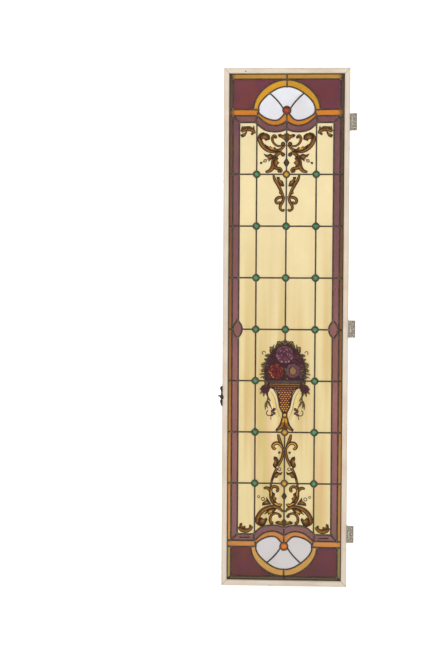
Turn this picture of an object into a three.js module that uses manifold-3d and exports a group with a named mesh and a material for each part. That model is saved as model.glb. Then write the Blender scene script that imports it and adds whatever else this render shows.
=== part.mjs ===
// One leaf of a pair of stained glass casements: a narrow painted wood frame, a leaded glass panel
// in its groove, three butt hinges on the right edge and a cast latch plate on the left edge.
// Millimetres, +Z up. The leaf lies in the XZ plane, its front faces -Y.
// The drawing's own zero is the middle of the leaf, on the front face of the wood. Heights are
// given as a drop below the top edge. The bottom end of the pattern mirrors its top end.
import * as THREE from "three";
import { mergeVertices } from "three/addons/utils/BufferGeometryUtils.js";
import Module from "manifold-3d";

const wasm = await Module();
wasm.setup();

// Driving dimensions
const LEAF_WIDTH = 465;
const LEAF_HEIGHT = 1920;
const FRAME_DEPTH = 34;
const FRAME_FACE = 19.5; // width of a frame member seen from the front
const SIGHT_BEVEL = 2.5; // bevel along the inner front edge
const GAP = 0.3; // air left between pieces that touch

const LEAD_WIDTH = 5.6;
const THIN_LEAD_WIDTH = 3.5; // round the painted basket
const LEAD_DEPTH = 6.6;
const FLANGE = 1.5; // depth of a lead that crosses a border
const EDGE_LEAD_IN = 8; // width of the lead round the whole panel
const EDGE_LEAD_HALF_X = 213.5; // middle of that lead, from the centre line
const EDGE_LEAD_DROP = 19;
const PANEL_FRONT = 12; // front of the leads behind the front of the wood

const BORDER_X = 198; // lead between the amber border and the purple band
const FIELD_X = 174; // lead between the purple band and the cream field
const COLUMN_X = 110; // upright leads of the field, with one more at the centre
const MIDDLE_DROP = 964; // middle of the pattern, which sits a little low in the frame
const ROW_PITCH = 191.4;
const ROWS = [-3, -2, -1, 0, 1, 2, 3]; // level leads, counted down from the middle

const STRIP_DROP = 40; // lead below the top amber strip
const BAR_TOP_DROP = 151;
const BAR_FOOT_DROP = 174;
const FIELD_DROP = 199; // lead below the level part of the purple band
// waist is the share by which an arch is drawn in at its shoulders.
const ARCH = { halfWidth: 123, rise: 110, foot: 152, waist: 0.02 };
const LUNETTE = { halfWidth: 105, rise: 85, foot: 152, waist: 0.07 };
const JEWEL = { drop: 154, ring: 16.5, dome: 11, sides: 8 };
// A fan divider leaves the lunette's arch at the first place and leans over the second.
const FAN = [[63, 92], [31, 118], [14, 147]];
const ARCH_STEPS = 10;
const SWAG_STEPS = 5;
const FAN_STEPS = 3;
const ALMOND_STEPS = 4;

const ROUNDEL = { ring: 14, sides: 6 };
const DOME_RISE = 2.2;
const ALMOND = { x: 177.5, halfWidth: 17, halfHeight: 34 };

const HINGE_DROPS = [199, LEAF_HEIGHT / 2, LEAF_HEIGHT - 198];
const HINGE_HEIGHT = 64;
const HINGE_LEAF = 22; // from the pin to a leaf's free edge
const HINGE_SHEET = 1.8;
const KNUCKLE_R = 3.2;
const KNUCKLES = 3;
const KNUCKLE_GAP = 0.4;
const PIN_R = 1.6;
const PIN_BORE_R = 1.95;
const PIN_X = LEAF_WIDTH / 2 + GAP + KNUCKLE_R;
const PIN_Y = -2.5;
const SCREW_HOLE = { r: 1.6, fromPin: 14, pitch: 21, sides: 6 };
const JAMB_MOUNT_FROM_PIN = 7.5;

const LATCH = { drop: 1213, halfHeight: 38, front: -3, depth: 18, thickness: 5, lap: 1.8 };
const STUB = { r: 3.2, length: 11, sides: 6 };

// Materials
const finish = (color, roughness, metalness = 0) =>
  new THREE.MeshStandardMaterial({ color, roughness, metalness });
const glass = (color) =>
  new THREE.MeshStandardMaterial({ color, roughness: 0.2, transparent: true, opacity: 0.8 });
const PAINTED_WOOD = finish(0xe0d3c3, 0.6);
const LEAD = finish(0x4a4038, 0.55, 0.6);
const STEEL = finish(0x8b8880, 0.45, 0.9);
const BRONZE = finish(0x3a2c1c, 0.5, 0.8);
const CREAM = glass(0xf2e2b0);
const PURPLE = glass(0x91606a);
const AMBER = glass(0xd39a3c);
const MAROON = glass(0x74303e);
const OPAL = glass(0xe4e8f2);
const PAINTED_GLASS = glass(0x6e3a34);

// Solids
function solidOf(geometry) {
  const bare = geometry.clone();
  bare.deleteAttribute("normal");
  bare.deleteAttribute("uv");
  const merged = mergeVertices(bare, 1e-4);
  return new wasm.Manifold(
    new wasm.Mesh({
      numProp: 3,
      vertProperties: new Float32Array(merged.attributes.position.array),
      triVerts: new Uint32Array(merged.index.array),
    }),
  );
}

function geometryOf(solid) {
  const mesh = solid.getMesh();
  const geometry = new THREE.BufferGeometry();
  geometry.setAttribute("position", new THREE.BufferAttribute(mesh.vertProperties, 3));
  geometry.setIndex(new THREE.BufferAttribute(mesh.triVerts, 1));
  const faceted = geometry.toNonIndexed();
  faceted.computeVertexNormals();
  return faceted;
}

const joined = (solids) => solids.reduce((all, solid) => all.add(solid));

// A flat shape drawn in x and z, thickened from y = front to y = back.
function plate(shape, front, back) {
  const geometry = new THREE.ExtrudeGeometry(shape, {
    depth: back - front,
    bevelEnabled: false,
    curveSegments: 8,
  });
  const corners = geometry.attributes.position;
  for (let i = 0; i < corners.count; i += 1) {
    corners.setXYZ(i, corners.getX(i), back - corners.getZ(i), corners.getY(i));
  }
  return solidOf(geometry);
}

const point = (x, z) => new THREE.Vector2(x, z);
const heightOf = (drop) => LEAF_HEIGHT / 2 - drop;
// The point x across and drop down from the top edge, or its mirror image about the middle of the
// pattern where end is -1.
const at = (x, drop, end = 1) => point(x, heightOf(end > 0 ? drop : 2 * MIDDLE_DROP - drop));
const rowHeight = (row) => heightOf(MIDDLE_DROP + row * ROW_PITCH);

const rectangle = (x0, z0, x1, z1) =>
  new THREE.Shape([point(x0, z0), point(x1, z0), point(x1, z1), point(x0, z1)]);

const box = (x0, x1, y0, y1, z0, z1) => plate(rectangle(x0, z0, x1, z1), y0, y1);

const polygon = (x, z, r, sides) =>
  new THREE.Shape(
    Array.from({ length: sides }, (_, i) => {
      const turn = ((i + 0.5) * 2 * Math.PI) / sides;
      return point(x + r * Math.cos(turn), z + r * Math.sin(turn));
    }),
  );

// The outline of a line of the given width that follows the points, mitred where it bends.
function stroke(points, width) {
  const left = [];
  const right = [];
  points.forEach((p, i) => {
    const into = p.clone().sub(points[i - 1] ?? p);
    const out = (points[i + 1] ?? p).clone().sub(p);
    const first = (into.length() ? into : out).clone().normalize();
    const last = (out.length() ? out : into).clone().normalize();
    const along = first.clone().add(last).normalize();
    const reach = width / 2 / Math.max(along.dot(first), 0.5);
    const across = point(-along.y, along.x).multiplyScalar(reach);
    left.push(p.clone().add(across));
    right.unshift(p.clone().sub(across));
  });
  return new THREE.Shape([...left, ...right]);
}

// An upright cylinder round (x, y), between two heights.
function post(x, y, r, z0, z1, sides) {
  const geometry = new THREE.CylinderGeometry(r, r, z1 - z0, sides);
  geometry.rotateX(Math.PI / 2);
  geometry.translate(x, y, (z0 + z1) / 2);
  return solidOf(geometry);
}

// Lead lines of one end, each a list of points. Every end of a line lies on the middle of another.
function archLine({ halfWidth, rise, foot, waist }, end) {
  return Array.from({ length: ARCH_STEPS + 1 }, (_, i) => {
    const turn = (Math.PI * i) / ARCH_STEPS;
    const reach = 1 - waist * Math.sin(2 * turn) ** 2;
    return at(-halfWidth * reach * Math.cos(turn), foot - rise * reach * Math.sin(turn), end);
  });
}

// Each swag hangs from below the arch's foot to the centre line: x and drop of places on it.
const SWAGS = {
  lunette: [[105, 152], [100, 167], [76, 183], [48, 191], [28, 187], [9, 167]],
  amber: [[109, 174], [79, 200], [48, 210], [22, 206], [0, 194]],
  purple: [[115, 199], [84, 225], [50, 233], [20, 231], [0, 223]],
};

function swagLine(places, side, end) {
  const curve = new THREE.SplineCurve(places.map(([x, drop]) => at(side * x, drop, end)));
  return curve.getPoints(SWAG_STEPS);
}

function fanLine(side, end) {
  const places = FAN.map(([x, drop]) => at(side * x, drop, end));
  return new THREE.QuadraticBezierCurve(...places).getPoints(FAN_STEPS);
}

// One of the two arcs of an almond: bulge is 1 towards the frame, -1 towards the field.
function almondLine(side, bulge) {
  return Array.from({ length: ALMOND_STEPS + 1 }, (_, i) => {
    const along = (2 * i) / ALMOND_STEPS - 1;
    const lean = bulge * ALMOND.halfWidth * (1 - along ** 2);
    return point(side * (ALMOND.x + lean), rowHeight(0) + ALMOND.halfHeight * along);
  });
}

// The painted flowers stand on the row below the middle, the basket hangs from it to the next row:
// x of places on their outlines and the height of each above that row.
const BASKET_ROW = 1;
const FLOWERS = [[57, 0], [72, 24], [73, 52], [60, 90], [34, 122], [0, 138]];
const BASKET = [
  [57, 0], [57, -23], [42, -30], [29, -52], [23, -78], [19, -98],
  [8, -120], [9, -140], [14, -162], [29, -184], [29, -ROW_PITCH],
];
const basketAt = ([x, rise]) => point(x, rowHeight(BASKET_ROW) + rise);

const mirrored = (make) => [-1, 1].flatMap((side) => make(side));
const bothEnds = (make) => [1, -1].flatMap((end) => make(end));

// Leads that stand through the whole depth of the panel, and so part two panes.
function partingLines() {
  const lines = [];
  const add = (points, width = LEAD_WIDTH) => lines.push({ points, width });
  const edge = heightOf(EDGE_LEAD_DROP);
  const half = EDGE_LEAD_IN / 2;
  const almondTip = ALMOND.halfHeight - 4; // inside its two arcs
  const columnTop = FIELD_DROP + 4; // on the purple swag
  mirrored((side) => [
    add([point(side * EDGE_LEAD_HALF_X, -edge - half), point(side * EDGE_LEAD_HALF_X, edge + half)],
      EDGE_LEAD_IN),
    add([point(-EDGE_LEAD_HALF_X, side * edge), point(EDGE_LEAD_HALF_X, side * edge)], EDGE_LEAD_IN),
    add([at(side * BORDER_X, BAR_FOOT_DROP), at(side * BORDER_X, BAR_FOOT_DROP, -1)]),
    add([at(side * FIELD_X, FIELD_DROP), point(side * FIELD_X, rowHeight(0) + almondTip)]),
    add([at(side * FIELD_X, FIELD_DROP, -1), point(side * FIELD_X, rowHeight(0) - almondTip)]),
    add([at(side * COLUMN_X, columnTop), at(side * COLUMN_X, columnTop, -1)]),
    add([point(side * BORDER_X, rowHeight(0)), point(side * EDGE_LEAD_HALF_X, rowHeight(0))]),
    add(almondLine(side, -1)),
    add(almondLine(side, 1)),
    add(FLOWERS.map(([x, rise]) => basketAt([side * x, rise])), THIN_LEAD_WIDTH),
    add(BASKET.map(([x, rise]) => basketAt([side * x, rise])), THIN_LEAD_WIDTH),
  ]);
  bothEnds((end) => {
    add([at(-BORDER_X, STRIP_DROP, end), at(BORDER_X, STRIP_DROP, end)]);
    add(archLine(ARCH, end));
    add(archLine(LUNETTE, end));
    mirrored((side) => [
      add([at(side * BORDER_X, STRIP_DROP, end), at(side * BORDER_X, BAR_TOP_DROP, end)]),
      add([at(side * BORDER_X, BAR_TOP_DROP, end), at(side * ARCH.halfWidth, BAR_TOP_DROP, end)]),
      add([at(side * BORDER_X, BAR_FOOT_DROP, end), at(side * SWAGS.amber[0][0], BAR_FOOT_DROP, end)]),
      add([at(side * FIELD_X, FIELD_DROP, end), at(side * SWAGS.purple[0][0], FIELD_DROP, end)]),
      ...Object.values(SWAGS).map((places) => add(swagLine(places, side, end))),
    ]);
  });
  ROWS.forEach((row) => {
    const z = rowHeight(row);
    const reach = row === 0 ? ALMOND.x - ALMOND.halfWidth : FIELD_X;
    add([point(-reach, z), point(reach, z)]);
  });
  add([at(0, SWAGS.purple.at(-1)[1]), basketAt(FLOWERS.at(-1))]);
  add([point(0, rowHeight(BASKET_ROW + 1)), at(0, SWAGS.purple.at(-1)[1], -1)]);
  return lines;
}

// Leads that cross a border on its front only, so that the border stays whole.
function crossingLines() {
  const lines = [];
  const add = (points) => lines.push(points);
  ROWS.filter((row) => row !== 0).forEach((row) =>
    mirrored((side) => {
      const z = rowHeight(row);
      add([point(side * FIELD_X, z), point(side * EDGE_LEAD_HALF_X, z)]);
    }),
  );
  bothEnds((end) => {
    const edge = end * heightOf(EDGE_LEAD_DROP);
    add([point(0, edge), at(0, LUNETTE.foot - LUNETTE.rise, end)]);
    add([at(0, JEWEL.drop, end), at(0, SWAGS.purple.at(-1)[1], end)]);
    mirrored((side) => {
      const barEnd = side * EDGE_LEAD_HALF_X;
      add([at(side * BORDER_X, STRIP_DROP, end), point(barEnd, edge)]);
      add([at(side * BORDER_X, BAR_TOP_DROP, end), at(barEnd, BAR_TOP_DROP, end)]);
      add([at(side * BORDER_X, BAR_FOOT_DROP, end), at(barEnd, BAR_FOOT_DROP, end)]);
      add([at(side * ARCH.halfWidth, ARCH.foot, end), at(side * LUNETTE.halfWidth, ARCH.foot, end)]);
      add([at(side * LUNETTE.halfWidth, LUNETTE.foot, end),
        at(side * SWAGS.amber[0][0], BAR_FOOT_DROP, end)]);
      add([at(side * SWAGS.amber[0][0], BAR_FOOT_DROP, end),
        at(side * SWAGS.purple[0][0], FIELD_DROP, end)]);
      add([at(side * BORDER_X, BAR_FOOT_DROP, end), at(side * FIELD_X, FIELD_DROP, end)]);
      add(fanLine(side, end));
    });
  });
  return lines;
}

// Round glass drops in their lead rings: two jewels and the roundels where leads cross.
function bosses() {
  const found = bothEnds((end) => [{ x: 0, z: at(0, JEWEL.drop, end).y, ...JEWEL }]);
  ROWS.forEach((row) =>
    [-COLUMN_X, 0, COLUMN_X]
      .filter((x) => x !== 0 || row !== BASKET_ROW)
      .forEach((x) => found.push({ x, z: rowHeight(row), ...ROUNDEL })),
  );
  return found;
}

const PANEL_BACK = PANEL_FRONT + LEAD_DEPTH;
const GLASS_FRONT = PANEL_FRONT + FLANGE + GAP;
const GLASS_BACK = PANEL_BACK - FLANGE - GAP;

function dome({ x, z, dome: r, sides }) {
  const geometry = new THREE.CylinderGeometry(r, r * 0.6, DOME_RISE + 1, sides);
  geometry.translate(x, PANEL_FRONT + (1 - DOME_RISE) / 2, z);
  return solidOf(geometry);
}

function leadSolids(clearance) {
  return [
    ...partingLines().map(({ points, width }) =>
      plate(stroke(points, width + 2 * clearance), PANEL_FRONT, PANEL_BACK)),
    ...bosses().map(({ x, z, ring, sides }) =>
      plate(polygon(x, z, ring + clearance, sides), PANEL_FRONT, PANEL_BACK)),
  ];
}

function leadwork() {
  const crossings = crossingLines().map((points) =>
    plate(stroke(points, LEAD_WIDTH), PANEL_FRONT, PANEL_FRONT + FLANGE),
  );
  const domes = bosses().filter((boss) => boss.dome).map(dome);
  return joined([...leadSolids(0), ...crossings, ...domes]);
}

// All panes, cut from one sheet by the leads that part them.
function panes() {
  const sheet = box(
    -EDGE_LEAD_HALF_X, EDGE_LEAD_HALF_X, GLASS_FRONT, GLASS_BACK,
    -heightOf(EDGE_LEAD_DROP), heightOf(EDGE_LEAD_DROP),
  );
  return sheet.subtract(joined(leadSolids(GAP))).decompose();
}

// The pane that holds a place.
function paneAt(pieces, { x, y: z }) {
  const probe = box(x - 1, x + 1, GLASS_FRONT, GLASS_BACK, z - 1, z + 1);
  return pieces.find((piece) => {
    const { min, max } = piece.boundingBox();
    const inside = x > min[0] && x < max[0] && z > min[2] && z < max[2];
    return inside && piece.intersect(probe).volume() > 0;
  });
}

// A place inside each pane, by name, with its glass.
function paneNames() {
  const names = [];
  const outer = (COLUMN_X + FIELD_X) / 2;
  const inner = 0.8 * COLUMN_X; // beside the painted flowers
  const columns = [-outer, -inner, inner, outer];
  for (let row = 0; row < 8; row += 1) {
    columns.forEach((x, column) => {
      const middle = point(x, rowHeight(row - 3.5));
      names.push([`cream_pane_row${row + 1}_column${column + 1}`, middle, CREAM]);
    });
  }
  const bandX = (BORDER_X + FIELD_X) / 2;
  const borderX = (BORDER_X + EDGE_LEAD_HALF_X - EDGE_LEAD_IN / 2) / 2;
  bothEnds((end) => {
    const where = end > 0 ? "top" : "bottom";
    names.push([`purple_band_${where}`, point(bandX, rowHeight(-1.5 * end)), PURPLE]);
    names.push([`amber_border_${where}`, point(borderX, rowHeight(-1.5 * end)), AMBER]);
    names.push([`opal_fan_${where}`, at(0, (LUNETTE.foot + STRIP_DROP) / 2, end), OPAL]);
    mirrored((side) => {
      const hand = side > 0 ? "right" : "left";
      const middleDrop = (STRIP_DROP + BAR_TOP_DROP) / 2;
      names.push([`maroon_pane_${where}_${hand}`, at(side * FIELD_X, middleDrop, end), MAROON]);
    });
  });
  mirrored((side) => {
    const hand = side > 0 ? "right" : "left";
    names.push([`purple_almond_${hand}`, point(side * ALMOND.x, rowHeight(0)), PURPLE]);
  });
  names.push(["flower_glass", basketAt([0, 40]), PAINTED_GLASS]);
  names.push(["basket_glass", basketAt([0, -40]), PAINTED_GLASS]);
  return names;
}

// The frame: four members, mitred at the corners, grooved for the panel.
const GROOVE_FLOOR = LEAF_WIDTH / 2 - EDGE_LEAD_HALF_X - EDGE_LEAD_IN / 2 - GAP;

// Cross-section of a member: u runs in from the outer edge, v back from the front face.
function memberSection() {
  return new THREE.Shape([
    point(0, 0),
    point(FRAME_FACE - SIGHT_BEVEL, 0),
    point(FRAME_FACE, SIGHT_BEVEL),
    point(FRAME_FACE, PANEL_FRONT - GAP),
    point(GROOVE_FLOOR, PANEL_FRONT - GAP),
    point(GROOVE_FLOOR, PANEL_BACK + GAP),
    point(FRAME_FACE, PANEL_BACK + GAP),
    point(FRAME_FACE, FRAME_DEPTH),
    point(0, FRAME_DEPTH),
  ]);
}

// A member of the given length, its outer edge towards +X and its middle at x = half.
function member(length, half) {
  const bar = new THREE.ExtrudeGeometry(memberSection(), { depth: length, bevelEnabled: false });
  bar.applyMatrix4(
    new THREE.Matrix4().set(-1, 0, 0, half, 0, 1, 0, 0, 0, 0, -1, length / 2, 0, 0, 0, 1),
  );
  const trim = GAP / Math.SQRT2;
  const end = length / 2 - trim;
  const mitre = new THREE.Shape([
    point(half + 1, -end - 1),
    point(half + 1, end + 1),
    point(half - 2 * FRAME_FACE, end - 2 * FRAME_FACE),
    point(half - 2 * FRAME_FACE, -end + 2 * FRAME_FACE),
  ]);
  return geometryOf(solidOf(bar).intersect(plate(mitre, -1, FRAME_DEPTH + 1)));
}

// Hinges: a stile leaf on the edge of the frame and a loose jamb leaf that holds the pin.
function knuckle(index, bottom) {
  const pitch = HINGE_HEIGHT / KNUCKLES;
  const low = bottom + index * pitch + KNUCKLE_GAP / 2;
  return post(0, 0, KNUCKLE_R, low, low + pitch - KNUCKLE_GAP, 8);
}

// A hinge leaf that runs from the pin towards +X, with its sheet on the side of -Y.
function hingeLeaf(indexes, holes) {
  const bottom = -HINGE_HEIGHT / 2;
  const clear = KNUCKLE_R + GAP;
  const outline = rectangle(clear, bottom, HINGE_LEAF, -bottom);
  if (holes) {
    [-1, 0, 1].forEach((i) =>
      outline.holes.push(
        polygon(SCREW_HOLE.fromPin, i * SCREW_HOLE.pitch, SCREW_HOLE.r, SCREW_HOLE.sides),
      ),
    );
  }
  const sheetFront = -KNUCKLE_R;
  const sheetBack = HINGE_SHEET - KNUCKLE_R;
  const pitch = HINGE_HEIGHT / KNUCKLES;
  const tongues = indexes.map((i) => {
    const low = bottom + i * pitch + KNUCKLE_GAP / 2;
    const tongue = rectangle(0, low, clear + 0.5, low + pitch - KNUCKLE_GAP);
    return plate(tongue, sheetFront, sheetBack);
  });
  const rolls = indexes.map((i) => knuckle(i, bottom));
  return joined([plate(outline, sheetFront, sheetBack), ...tongues, ...rolls]);
}

function jambLeaf() {
  const pin = post(0, 0, PIN_R, -HINGE_HEIGHT / 2, HINGE_HEIGHT / 2, 6);
  return geometryOf(hingeLeaf([0, 2], true).add(pin));
}

// The stile leaf is made like the jamb leaf, then turned to run back along the frame's edge.
function stileLeaf() {
  const bore = post(0, 0, PIN_BORE_R, -HINGE_HEIGHT, HINGE_HEIGHT, 8);
  const geometry = geometryOf(hingeLeaf([1], false).subtract(bore));
  geometry.scale(1, -1, 1);
  const corners = geometry.attributes.position;
  for (let i = 0; i < corners.count; i += 3) {
    const held = new THREE.Vector3().fromBufferAttribute(corners, i);
    corners.setXYZ(i, corners.getX(i + 1), corners.getY(i + 1), corners.getZ(i + 1));
    corners.setXYZ(i + 1, held.x, held.y, held.z);
  }
  geometry.rotateZ(Math.PI / 2);
  geometry.computeVertexNormals();
  return geometry;
}

// The latch plate: a cast bar with three swellings, lapped a little over the front of the stile,
// with a boss there. x is out from the edge of the frame, z up from the middle of the plate.
const LATCH_OUTLINE = [
  [-3, 38], [-7.5, 34], [-8.6, 28], [-5, 17], [-6, 3], [-9.5, -4],
  [-5, -11], [-9, -18], [-5.5, -31], [-2.5, -38],
];
const LATCH_BOSS = [[-5, 10], [3, 4], [5.6, 0], [6, -4], [5, -9], [-5, -15]];

function latchPlate() {
  const { halfHeight, front, depth, thickness, lap } = LATCH;
  const points = (places) => places.map(([x, z]) => point(x, z));
  const outer = new THREE.SplineCurve(points(LATCH_OUTLINE)).getPoints(10);
  const bar = new THREE.Shape([...outer, point(0, -halfHeight), point(0, halfHeight)]);
  const socket = new THREE.CylinderGeometry(STUB.r + GAP, STUB.r + GAP, 40, STUB.sides);
  socket.rotateZ(Math.PI / 2);
  socket.translate(0, depth / 2, 0);
  return geometryOf(
    plate(bar, front, depth)
      .add(plate(rectangle(-thickness / 2, -halfHeight, lap, halfHeight), front, -GAP))
      .add(plate(new THREE.Shape(points(LATCH_BOSS)), front, -GAP))
      .subtract(solidOf(socket)),
  );
}

function latchStub() {
  const tip = LATCH.thickness + STUB.length;
  const profile = [
    point(0, 0), point(STUB.r, 0), point(STUB.r, tip - 2), point(STUB.r - 1, tip), point(0, tip),
  ];
  const geometry = new THREE.LatheGeometry(profile, STUB.sides);
  geometry.rotateZ(Math.PI / 2);
  return geometry;
}

// Scene graph
const window = new THREE.Group();
const leaf = new THREE.Group();
window.add(leaf);

function piece(name, geometry, material, x = 0, y = 0, z = 0) {
  const mesh = new THREE.Mesh(geometry, material);
  mesh.name = name;
  mesh.position.set(x, y, z);
  leaf.add(mesh);
  return mesh;
}

const stile = member(LEAF_HEIGHT, LEAF_WIDTH / 2);
const rail = member(LEAF_WIDTH, LEAF_HEIGHT / 2);
piece("stile_hinge_side", stile, PAINTED_WOOD);
piece("stile_latch_side", turned(stile, 180), PAINTED_WOOD);
piece("rail_top", turned(rail, -90), PAINTED_WOOD);
piece("rail_bottom", turned(rail, 90), PAINTED_WOOD);

// A copy turned about the Y axis, which keeps the front at the front.
function turned(geometry, degrees) {
  return geometry.clone().rotateY(THREE.MathUtils.degToRad(degrees));
}

piece("leadwork", geometryOf(leadwork()), LEAD);

const cut = panes();
for (const [name, place, material] of paneNames()) {
  piece(name, geometryOf(paneAt(cut, place)), material);
}

["top", "middle", "bottom"].forEach((where, i) => {
  const z = heightOf(HINGE_DROPS[i]);
  piece(`hinge_jamb_leaf_${where}`, jambLeaf(), STEEL, PIN_X, PIN_Y, z);
  piece(`hinge_stile_leaf_${where}`, stileLeaf(), STEEL, PIN_X, PIN_Y, z);
});

const latchX = -LEAF_WIDTH / 2 - GAP;
const latchZ = heightOf(LATCH.drop);
piece("latch_plate", latchPlate(), BRONZE, latchX, 0, latchZ);
piece("latch_stub", latchStub(), STEEL, latchX, LATCH.depth / 2, latchZ);

// The origin is on the face of the middle jamb leaf that is screwed to the jamb.
leaf.position.set(-PIN_X - JAMB_MOUNT_FROM_PIN, -PIN_Y + KNUCKLE_R, -heightOf(HINGE_DROPS[1]));

export default window;
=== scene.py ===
"""Looks of one leaf of a pair of stained glass casements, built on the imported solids.

The drawing is in millimetres: x across and z up from the middle of the leaf, and y back from the
front of the wood. Heights are mostly given as a drop below the top edge of the leaf. Painted
shapes are drawn on the right half and mirrored.
"""

import math
import random

import bmesh
import bpy
from mathutils import Euler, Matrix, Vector
from mathutils.bvhtree import BVHTree
from mathutils.geometry import delaunay_2d_cdt


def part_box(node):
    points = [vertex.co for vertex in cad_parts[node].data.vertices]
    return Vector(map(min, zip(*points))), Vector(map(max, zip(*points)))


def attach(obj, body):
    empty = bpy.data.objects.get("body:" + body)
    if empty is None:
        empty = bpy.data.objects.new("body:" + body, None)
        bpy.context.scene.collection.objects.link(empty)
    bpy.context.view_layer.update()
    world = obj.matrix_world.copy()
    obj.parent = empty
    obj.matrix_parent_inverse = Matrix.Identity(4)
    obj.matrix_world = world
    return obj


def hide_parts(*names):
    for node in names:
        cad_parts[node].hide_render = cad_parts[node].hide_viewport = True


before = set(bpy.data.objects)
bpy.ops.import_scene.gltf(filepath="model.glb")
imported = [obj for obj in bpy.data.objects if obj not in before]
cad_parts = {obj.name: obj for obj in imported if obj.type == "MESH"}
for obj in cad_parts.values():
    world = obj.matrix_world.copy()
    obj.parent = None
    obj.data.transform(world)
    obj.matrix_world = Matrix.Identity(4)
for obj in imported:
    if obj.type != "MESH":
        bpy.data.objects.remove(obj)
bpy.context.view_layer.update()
chance = random.Random(5)

# --- The drawing's place in the model ---------------------------------------------------------

MM = 0.001
LATCH_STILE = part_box("stile_latch_side")
HINGE_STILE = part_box("stile_hinge_side")
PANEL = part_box("leadwork")
MIDDLE_X = (LATCH_STILE[0].x + HINGE_STILE[1].x) / 2
MIDDLE_Z = (LATCH_STILE[0].z + LATCH_STILE[1].z) / 2
WOOD_FRONT = LATCH_STILE[0].y
LEAF_WIDTH = (HINGE_STILE[1].x - LATCH_STILE[0].x) / MM
LEAF_HEIGHT = (LATCH_STILE[1].z - LATCH_STILE[0].z) / MM

LEAD_WIDTH = 5.6
THIN_LEAD_WIDTH = 3.5
EDGE_LEAD_WIDTH = 8.0
LEAD_DEPTH = 6.6
FLANGE = 1.5
HEART = 1.2
PANEL_BACK = (PANEL[1].y - WOOD_FRONT) / MM
PANEL_FRONT = PANEL_BACK - LEAD_DEPTH
GLASS_FRONT = PANEL_FRONT + FLANGE + 0.3
GLASS_BACK = PANEL_BACK - FLANGE - 0.3

EDGE_X, EDGE_DROP = 213.5, 19
BORDER_X = 198
FIELD_X = 174
COLUMN_X = 110
MIDDLE_DROP = 964  # middle of the pattern
ROW_PITCH = 191.4
ROWS = (-3, -2, -1, 0, 1, 2, 3)
BASKET_ROW = 1

STRIP_DROP = 40
BAR_TOP, BAR_FOOT = 151, 174
FIELD_DROP = 199
# waist is the share by which an arch is drawn in at its shoulders.
ARCH = dict(half_width=123, rise=110, foot=152, waist=0.02)
LUNETTE = dict(half_width=105, rise=85, foot=152, waist=0.07)
JEWEL_DROP = 154
SWAGS = {
    "lunette": ((105, 152), (100, 167), (76, 183), (48, 191), (28, 187), (9, 167)),
    "amber": ((109, 174), (79, 200), (48, 210), (22, 206), (0, 194)),
    "purple": ((115, 199), (84, 225), (50, 233), (20, 231), (0, 223)),
}
FAN = ((63, 92), (31, 118), (14, 147))
ALMOND = dict(x=177.5, half_width=17, half_height=34)
# Outlines of the painted panes: x, and the height above the basket's row.
FLOWERS = ((57, 0), (72, 24), (73, 52), (60, 90), (34, 122), (0, 138))
BASKET = (
    (57, 0), (57, -23), (42, -30), (29, -52), (23, -78), (19, -98),
    (8, -120), (9, -140), (14, -162), (29, -184), (29, -ROW_PITCH),
)

JEWEL_RING = 14.2  # middle of the lead round a jewel
ROUNDEL_RING = 12.4


def height_of(drop):
    return LEAF_HEIGHT / 2 - drop


def at(x, drop, end=1):
    """A point of the drawing, or its mirror image about the pattern's middle where end is -1."""
    return Vector((x, height_of(drop if end > 0 else 2 * MIDDLE_DROP - drop)))


def row_height(row):
    return height_of(MIDDLE_DROP + row * ROW_PITCH)


def in_model(x, y, z):
    return Vector((MIDDLE_X + x * MM, WOOD_FRONT + y * MM, MIDDLE_Z + z * MM))


# --- Finishes ---------------------------------------------------------------------------------


def srgb(red, green, blue):
    """A colour as seen on screen, 0 to 255, as the linear colour that a shader takes."""
    return tuple(
        c / 12.92 if c <= 0.04045 else ((c + 0.055) / 1.055) ** 2.4
        for c in (red / 255, green / 255, blue / 255)
    )


def shaded(colour, factor):
    return tuple(min(c * factor, 1) for c in colour)


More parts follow.
